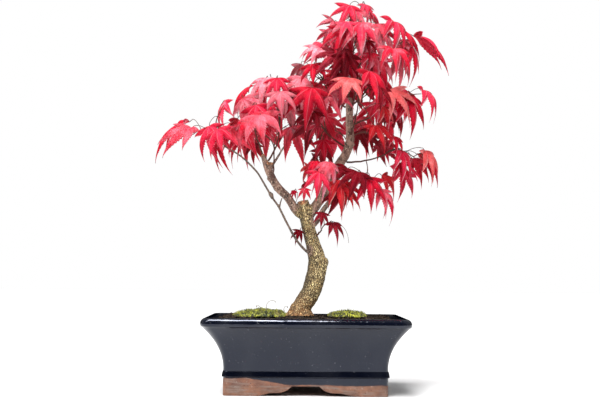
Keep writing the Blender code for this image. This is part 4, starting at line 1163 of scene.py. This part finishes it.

# The light side of the crown is dressed one by one, as a grower does by bending the petioles.
# About two dozen leaves are turned, moved, let down or curled, and three more hang apart from
# the sprays: beside the trunk, on the left bough and on the slope under the top.

# Spray and number of each leaf, how far it is moved, where it then points, and how many times
# longer and slacker it is.
BENT_LEAVES = (
    ("foliage_top", 3, (0.000, 0.0, -0.001), None, 0.95, 1.0),
    ("foliage_top", 4, (-0.002, 0.0, -0.002), (-0.15, -0.55, -0.82), 1.00, 1.0),
    ("foliage_top", 12, (-0.011, 0.0, -0.004), (0.32, -0.50, -0.80), 1.25, 1.0),
    ("foliage_top", 13, (-0.011, 0.0, -0.013), (-0.36, -0.55, -0.75), 1.15, 1.0),
    ("foliage_far_left", 1, (-0.001, 0.0, -0.001), (-0.74, -0.10, -0.66), 0.96, 0.30),
    ("foliage_far_left", 2, (0.0030, -0.0060, 0.0050), (-0.30, -0.55, -0.78), 1.05, 1.0),
    ("foliage_far_left", 3, (-0.0150, 0.0, -0.0180), (0.05, -0.45, -0.89), 1.10, 1.0),
    ("foliage_left", 0, (0.0090, 0.0, -0.0090), (-0.08, -0.62, -0.78), 0.88, 1.0),
    ("foliage_left", 3, (0.0030, 0.0, 0.0050), (0.42, -0.30, -0.85), 1.05, 1.0),
    ("foliage_upper_left", 6, (0.0, 0.0, 0.0), None, 1.15, 1.0),
    ("foliage_centre_left", 3, (0.0, 0.0, 0.0), None, 0.85, 1.0),
    ("foliage_far_left", 5, (-0.001, 0.0, 0.001), (-0.66, -0.45, -0.60), 1.00, 0.60),
    ("foliage_low_front", 4, (0.001, -0.004, 0.001), (-0.05, -0.55, -0.83), 1.25, 4.2),
    ("foliage_low_front", 6, (0.006, -0.004, -0.006), None, 1.25, 2.6),
    ("foliage_inner", 7, (-0.006, 0.0, 0.002), None, 0.70, 1.0),
    ("foliage_top_right", 1, (-0.0060, 0.0, 0.0020), (0.84, -0.08, -0.54), 1.00, 0.60),
    ("foliage_top_right", 8, (-0.004, 0.0, -0.006), None, 0.75, 1.0),
    ("foliage_right", 2, (0.0, 0.0, 0.0), None, 0.80, 1.0),
    ("foliage_right", 3, (0.0050, 0.0, -0.0010), (0.48, -0.52, -0.71), 1.05, 1.0),
    ("foliage_right", 4, (-0.004, 0.0, 0.001), (0.22, -0.35, -0.91), 0.92, 1.0),
    ("foliage_low_right", 1, (0.0, 0.0, 0.0), None, 0.78, 1.0),
    ("foliage_low_right", 3, (0.0, 0.0, 0.0), None, 1.25, 1.0),
    ("foliage_far_right", 1, (0.0, 0.0, 0.0090), (0.72, 0.04, -0.69), 0.82, 1.0),
    ("foliage_far_right", 4, (0.0, 0.0, 0.0), None, 0.80, 1.0),
    ("foliage_far_right", 5, (0.0080, 0.0, -0.0030), None, 1.00, 1.0),
    ("foliage_far_right", 7, (0.0, 0.0, 0.0), None, 0.82, 1.0),
)
for name, index, shift, turned, stretch, slack in BENT_LEAVES:
    stalk, ahead, face, length, droop = leaves[name][index]
    stalk = [stalk[0], *[point + Vector(shift) * step / (len(stalk) - 1)
                         for step, point in enumerate(stalk[1:], 1)]]
    if turned:
        ahead = Vector(turned).normalized()
        face = (face - ahead * face.dot(ahead)).normalized()
    leaves[name][index] = (stalk, ahead, face, length * stretch, droop * slack)

# Spray, the place on a shoot if it starts there, stalk, way ahead, upper face, length, droop.
LONE_LEAVES = (
    ("twig_low", None, ((-0.0020, -0.0050, 0.1612), (-0.0056, -0.0085, 0.1622)),
     (-0.36, -0.10, -0.93), (-0.35, -0.90, 0.23), 0.0165, 0.10),
    ("foliage_left", None,
     ((-0.0128, -0.0030, 0.1850), (-0.0092, -0.0050, 0.1930), (-0.0112, -0.0065, 0.2015)),
     (-0.55, -0.35, -0.76), (-0.40, -0.60, 0.69), 0.0125, 0.50),
    ("foliage_upper_left", (2, 0.98), ((0.0205, -0.0070, 0.3460), (0.0150, -0.0080, 0.3520)),
     (-0.78, -0.15, -0.60), (-0.45, -0.55, 0.70), 0.0330, 0.35),
)
for name, spot, stalk, ahead, face, length, droop in LONE_LEAVES:
    stalk = [Vector(point) for point in stalk]
    ahead = Vector(ahead).normalized()
    face = Vector(face)
    if spot:
        whole = plain_shoots[name][spot[0]]
        reach = sum((b - a).length for a, b in zip(whole, whole[1:]))
        stalk.insert(0, along([(point, 0.0) for point in whole], reach * spot[1])[0])
    leaves[name].append((
        stalk, ahead, (face - ahead * face.dot(ahead)).normalized(), length, droop))

# A leaf is palmate, with five long lobes that end in drawn-out tips. The lobes have toothed
# edges, fold along their ribs and hang, so that one half of each catches the light; the half
# that faces the upper left front is also painted pale, as a painted highlight.

LOBE_ROWS = 24
INNER_ROWS = 7
LOBE_COLUMNS = 4
EDGE_ANGLE = 20
TOOTH = 0.095
FOLD = 0.74
BLADE_THICKNESS = 0.011
LEAF_LOBES = ((-84, 0.50), (-41, 0.87), (0, 1.00), (41, 0.87), (84, 0.50))
SINUSES = (0.05, 0.27, 0.35, 0.35, 0.27, 0.05)


def leaf_template():
    """One flat unit leaf with its apex at the origin and its middle lobe along Y."""
    blade = bmesh.new()
    across_along = blade.loops.layers.uv.new("rib")
    for index, (angle, reach) in enumerate(LEAF_LOBES):
        old = set(blade.verts)
        bmesh.ops.create_grid(
            blade, x_segments=LOBE_COLUMNS, y_segments=LOBE_ROWS, size=1.0, calc_uvs=False)
        fresh = [vertex for vertex in blade.verts if vertex not in old]
        edges = [
            math.radians(abs(angle - LEAF_LOBES[index + way][0]) / 2)
            if 0 <= index + way < len(LEAF_LOBES) else math.radians(EDGE_ANGLE)
            for way in (-1, 1)]
        lay = {}
        for vertex in fresh:
            across = vertex.co.x
            row = round((vertex.co.y + 1) / 2 * LOBE_ROWS)
            side = 0 if across < 0 else 1
            sinus = SINUSES[index + side]
            middle = (SINUSES[index] + SINUSES[index + 1]) / 2
            start = middle + (sinus - middle) * abs(across)
            turned = across * edges[side]
            if row <= INNER_ROWS:
                radius = start * row / INNER_ROWS
                x, y = radius * math.sin(turned), radius * math.cos(turned)
            else:
                u = (row - INNER_ROWS) / (LOBE_ROWS - INNER_ROWS)
                width = (1 - u) ** 1.5 * (1 + 2.0 * u)
                tooth = TOOTH if row % 2 else -TOOTH
                width *= 1 + tooth * (abs(across) == 1) * (1 - u) ** 0.5
                x = start * math.sin(turned) * width
                y = start * math.cos(turned)
                y += (reach - y) * u
            lay[vertex] = (row / LOBE_ROWS, across)
            turn = math.radians(angle)
            vertex.co = (
                x * math.cos(turn) + y * math.sin(turn),
                y * math.cos(turn) - x * math.sin(turn),
                -FOLD * abs(x))
        for face in {face for vertex in fresh for face in vertex.link_faces}:
            for loop in face.loops:
                loop[across_along].uv = (lay[loop.vert][0], lay[loop.vert][1] * 0.5 + 0.5)
    bmesh.ops.remove_doubles(blade, verts=blade.verts, dist=0.0004)
    bmesh.ops.dissolve_degenerate(blade, edges=blade.edges, dist=0.0001)
    bmesh.ops.recalc_face_normals(blade, faces=blade.faces)
    if sum(face.normal.z for face in blade.faces) < 0:
        bmesh.ops.reverse_faces(blade, faces=blade.faces)
    template = placed("leaf_template", mesh_of("leaf_template", blade))
    body = template.modifiers.new("body", "SOLIDIFY")
    body.thickness = BLADE_THICKNESS
    body.offset = 0.0
    applied(template)
    mesh = template.data
    bpy.data.objects.remove(template)
    under = mesh.uv_layers["rib"].data
    for face in mesh.polygons:
        if face.normal.z < 0:
            for loop in face.loop_indices:
                under[loop].uv.x += 2.0
    return mesh


def leaf_finish(name, light, deep, pale_vein_and_sheen):
    """A leaf colour: mottled between two tones, with ribs, side veins and a pale underside, a
    painted sheen on faces turned to the upper left front and painted shade in its wrinkles.
    """
    leaf = Finish(name, {
        "Specular IOR Level": 0.06, "Subsurface Weight": 0.20, "Subsurface Scale": 0.003,
        "Subsurface Radius": (1.0, 0.15, 0.18)})
    rib = leaf.node("UVMap", {"uv_map": "rib"})
    along_rib = leaf.node("SeparateXYZ", inputs={0: rib}, output="X")
    across_rib = leaf.node("SeparateXYZ", inputs={0: rib}, output="Y")
    under = leaf.fade(along_rib, 1.4, 1.6)
    along_rib = along_rib - under * 2.0
    off = leaf.node("Math", {"operation": "ABSOLUTE"}, {0: across_rib - 0.5}) * 2.0
    veins = leaf.node("Math", {"operation": "PINGPONG"}, {0: along_rib * 17.0 - off * 2.2, 1: 0.5})
    veins = leaf.fade(veins, 0.10, 0.0) * leaf.fade(off, 0.95, 0.5)
    veins = veins * 0.5 + leaf.fade(off, 0.09, 0.03)
    tone = leaf.attribute("tone")
    lift = leaf.attribute("lift")
    blotch = leaf.grain(0.012, 4.0) + (tone - 0.5) * 0.30
    colour = leaf.mix(leaf.fade(blotch, 0.36, 0.66) * 0.85, light, deep)
    wrinkle_and_shade = leaf.patches(0.40, 0.60, 0.0014, 3.0)
    # The wrinkle hollows, which the relief sinks, are also painted darker: painted shade in the
    # creases.
    colour = leaf.mix(wrinkle_and_shade * 0.40, colour, deep)
    edge = leaf.fade(off, 0.50, 1.0) * 0.30 + leaf.fade(along_rib, 0.45, 1.0) * 0.45
    colour = leaf.mix(edge, colour, [0.55 * part for part in deep])
    # Faces turned up towards the upper left front, as the lift attribute measures, are painted
    # pale: a painted sheen on the lit half of each lobe.
    painted_sheen = leaf.fade(lift + leaf.grain(0.011, 3.0) * 0.5 - tone * 0.50, 0.08, 0.53)
    colour = leaf.mix(painted_sheen * (0.96 - wrinkle_and_shade * 0.30), colour, pale_vein_and_sheen)
    colour = leaf.mix(veins * 0.26, colour, pale_vein_and_sheen)
    back = [0.80 * part + 0.20 * grey for part, grey in zip(light, (0.42, 0.12, 0.15))]
    colour = leaf.mix(under * 0.5, colour, back)
    leaf.feed("Base Color", colour)
    leaf.feed("Roughness", leaf.grain(0.006, 3.0) * 0.20 + 0.30 + under * 0.2)
    leaf.relief(veins * -0.9 + leaf.grain(0.0022, 2.0) * 0.9 - wrinkle_and_shade * 0.35, 0.0013)
    return leaf.material


template = leaf_template()
# The rose finish is partly a lit, pinker copy of the crimson one, and the maroon finish is a
# shaded, darker copy of it: painted sheen and painted shade.
LEAF_FINISHES = (
    leaf_finish("crimson_leaf", (0.680, 0.005, 0.030), (0.300, 0.001, 0.012), (0.93, 0.32, 0.40)),
    leaf_finish("rose_and_lit_crimson_leaf", (0.760, 0.030, 0.075), (0.480, 0.003, 0.026), (0.98, 0.55, 0.61)),
    leaf_finish("maroon_and_shaded_crimson_leaf", (0.205, 0.001, 0.008), (0.070, 0.000, 0.003), (0.44, 0.04, 0.07)),
    leaf_finish("scarlet_leaf", (0.600, 0.020, 0.026), (0.310, 0.003, 0.010), (0.90, 0.31, 0.30)),
    leaf_finish("pale_leaf", (0.560, 0.150, 0.180), (0.420, 0.050, 0.080), (0.76, 0.50, 0.53)),
)
twig_bark = Finish("red_brown_twig", {"Roughness": 0.80, "Specular IOR Level": 0.15})
twig_bark.feed("Base Color", twig_bark.mix(
    twig_bark.grain(0.004, 3.0), (0.034, 0.012, 0.010), (0.115, 0.048, 0.036)))
twig_bark.relief(twig_bark.grain(0.0010, 3.0), 0.0003)
petiole = Finish("dark_red_stalk", {"Roughness": 0.65, "Specular IOR Level": 0.15})
petiole.feed("Base Color", petiole.mix(
    petiole.grain(0.006, 3.0), (0.060, 0.006, 0.010), (0.210, 0.020, 0.028)))
petiole.relief(petiole.grain(0.0008, 2.0), 0.0002)


def leaf_apex(stalk, ahead, length):
    """The point where the ribs of a leaf meet, just past the end of its stalk."""
    return stalk[-1] + ahead * (STALK_LEAD + STALK_COLLAR * length)


def lay_leaf(blades, rng, stalk, ahead, face, length, droop, finish):
    """Put a copy of the template on a stalk's end and let its lobes arch down."""
    side = face.cross(ahead)
    apex = leaf_apex(stalk, ahead, length) + SHIFT
    tone_layer = blades.verts.layers.float.get("tone") or blades.verts.layers.float.new("tone")
    start = len(blades.verts)
    first_face = len(blades.faces)
    blades.from_mesh(template)
    blades.verts.ensure_lookup_table()
    blades.faces.ensure_lookup_table()
    seed = rng.uniform(0, 100)
    bow = [rng.uniform(-0.06, 0.10) for _ in range(3)]
    gather = rng.uniform(0.05, 0.42)
    keel = rng.uniform(0.7, 1.4)
    arch = rng.uniform(0.25, 0.66)
    tone = rng.random()
    for vertex in blades.verts[start:]:
        x, y, z = vertex.co
        out = math.hypot(x, y)
        angle = math.atan2(x, y) * (0.94 - gather * out * out)
        out *= 1 + 0.10 * out * noise.noise(Vector((angle * 1.6, seed, 0.5)))
        x, y, z = out * math.sin(angle), out * math.cos(angle), z * keel
        wave = 0.020 * math.sin(angle * 9 + seed) * out
        wave += 0.040 * noise.noise(Vector((x * 2.4, y * 2.4, seed))) * out
        twist = bow[0] * math.sin(angle) + bow[1] * math.cos(2 * angle) + bow[2] * out
        spread = 1 + 0.7 * math.sin(angle) ** 2
        sag = (droop * 1.15 + twist) * out * out * spread - arch * out * (1 - out)
        far = out - SAG_SHORTENING * droop * sag
        ratio = far / out if out > 1e-6 else 1.0
        vertex.co = apex + length * (
            (side * x + ahead * y) * ratio + face * (z + wave - sag))
        vertex[tone_layer] = tone
    for item in blades.faces[first_face:]:
        item.material_index = finish
        item.smooth = True


STALK_FOOT = 0.00050
STALK_MIDDLE = 0.00030
STALK_END = 0.00044


def stalk_path(stalk, ahead, length):
    """The petiole's curve from its root to just under the leaf's apex."""
    apex = leaf_apex(stalk, ahead, length)
    if len(stalk) == 2:
        points = [*stalk, apex]
    else:
        points = [*bend((stalk[0], stalk[1] + (stalk[1] - (stalk[0] + stalk[2]) / 2) * 0.8,
                         stalk[2]), 5), apex]
    return points, [STALK_FOOT] + [STALK_MIDDLE] * (len(points) - 2) + [STALK_END], 1


# The way, up and towards the upper left front, along which the leaves' painted sheen is strongest.
PAINTED_LIGHT_WAY = Vector((-0.48, -0.52, 0.71))
OPEN_PAIR_SIZE = 0.92
FAR_LEFT_SIZE = 1.08
STEM_SWAY = 0.0007
JOINT_SWELL = 1.22
# A dry thread that hangs from the low twig: start, pull and end.
DRY_THREAD = ((0.0228, -0.0210, 0.1687), (0.0410, -0.0210, 0.1670), (0.0418, -0.0210, 0.1470))
for name, mass in MASSES.items():
    rng = random.Random(mass[5] + 9)
    blades = bmesh.new()
    for stalk, ahead, face, length, droop in leaves[name]:
        finish = rng.choices(range(5), weights=SPRAYS[name])[0]
        if name in OPEN_MASSES and len(stalk) == 3:
            length *= OPEN_PAIR_SIZE
        if name == "foliage_far_left":
            length *= FAR_LEFT_SIZE
        lay_leaf(blades, rng, stalk, ahead, face, length, droop, finish)
    blades.normal_update()
    # How far each vertex faces that way, which the leaf colours turn into a painted sheen.
    light_facing_layer = blades.verts.layers.float.new("lift")
    for vertex in blades.verts:
        vertex[light_facing_layer] = max(0.0, vertex.normal.dot(PAINTED_LIGHT_WAY))
    declare(
        placed("leaves_" + name, mesh_of("leaves_" + name, blades, *LEAF_FINISHES)),
        "leaf", name)
    stem, shoots = twigs[name]
    pull = (stem[0] + stem[2]) * 0.30 + stem[1] * 0.40
    stem_path = bend((stem[0], pull, stem[2]), 8)
    for knot in (2, 4, 6):
        stem_path[knot] += Vector([rng.uniform(-STEM_SWAY, STEM_SWAY) for _ in range(3)])
    strands = [(stem_path, taper(0.00100, 0.0004, 8), 0)]
    for shoot in shoots:
        radii = taper(0.00062, 0.00024, 10)
        for joint in (3, 6, 9):
            radii[joint] *= JOINT_SWELL
        strands.append((bend(shoot, 10), radii, 0))
    for stalk, ahead, face, length, droop in leaves[name]:
        strands.append(stalk_path(stalk, ahead, length))
    if name == "twig_low":
        strands.append((
            bend([Vector(point) for point in DRY_THREAD], 8), taper(0.00024, 0.00008, 8), 0))
    twig_mesh = tubes("twigs_" + name, strands, 2)
    declare(finished("twigs_" + name, twig_mesh, twig_bark.material, petiole.material),
            "leaf", name)

# The bonsai stands on a plain pale floor in soft studio light: a wide soft key from the upper
# left, a long light overhead and a weak one from the front right. Two black cards that the
# camera doesn't see, one before and one behind the pot, are what the glaze mirrors.


def studio_square(name, size, finish, place):
    """A flat square of the studio, which is no part of the bonsai."""
    square = bmesh.new()
    bmesh.ops.create_grid(square, x_segments=1, y_segments=1, size=size)
    mesh = mesh_of(name, square, finish.material)
    mesh.transform(place)
    return placed(name, mesh)


floor_finish = Finish("pale_floor", {"Roughness": 0.85})
floor_finish.feed("Base Color", floor_finish.mix(
    floor_finish.grain(0.4), (0.80, 0.80, 0.80), (0.785, 0.785, 0.785)))
floor = studio_square("floor", 6.0, floor_finish, Matrix())
card_finish = Finish("black_card", {
    "Roughness": 1.0, "Specular IOR Level": 0.0, "Base Color": (0.0, 0.0, 0.0, 1.0)})
upright = Matrix.Rotation(math.radians(90), 4, "X") @ Matrix.Diagonal((1.6, 1.0, 1.0, 1.0))
for place in ((0.0, -0.62, 0.53), (0.0, 1.28, 0.13)):
    card = studio_square("card", 0.5, card_finish, Matrix.Translation(place) @ upright)
    card.visible_camera = False
    card.visible_diffuse = False
    card.visible_shadow = False
for name, place, size, power in (
        ("overhead", (-0.24, -0.22, 1.30), (0.8, 0.32), 26.0),
        ("front", (0.9, -1.3, 0.9), (0.7, 0.7), 8.0)):
    lamp = bpy.data.lights.new(name, "AREA")
    lamp.shape = "RECTANGLE"
    lamp.size, lamp.size_y = size
    lamp.energy = power
    spot = Vector(place)
    turn = (Vector((0.0, 0.0, 0.2)) - spot).to_track_quat("-Z", "Y").to_matrix().to_4x4()
    placed(name, lamp).matrix_world = Matrix.Translation(spot) @ turn
key = bpy.data.lights.new("key", "SUN")
key.energy = 4.5
key.angle = math.radians(42)
toward = Vector((0.36, 0.58, -1.0)).to_track_quat("-Z", "Y")
placed("key", key).matrix_world = toward.to_matrix().to_4x4()
world = bpy.data.worlds.new("studio")
world.use_nodes = True
backdrop = world.node_tree.nodes["Background"]
backdrop.inputs["Color"].default_value = (1.0, 1.0, 1.0, 1.0)
rays = world.node_tree.nodes.new("ShaderNodeLightPath")
level = world.node_tree.nodes.new("ShaderNodeMapRange")
level.inputs["To Min"].default_value = 0.26
level.inputs["To Max"].default_value = 1.0
world.node_tree.links.new(rays.outputs["Is Camera Ray"], level.inputs["Value"])
world.node_tree.links.new(level.outputs["Result"], backdrop.inputs["Strength"])
bpy.context.scene.world = world
bpy.context.scene.view_settings.view_transform = "Standard"
lens = bpy.data.cameras.new("photo_view")
lens.sensor_width = 36.0
lens.lens = 63.9
lens.clip_start = 0.01
camera = placed("photo_view", lens)
camera.matrix_world = (
    Matrix.Translation(SHIFT + Vector((-0.0068, -1.075, 0.115)))
    @ Matrix.Rotation(math.radians(94.03), 4, "X") @ Matrix.Rotation(math.radians(0.5), 4, "Z"))
bpy.context.scene.camera = camera

bpy.context.view_layer.update()
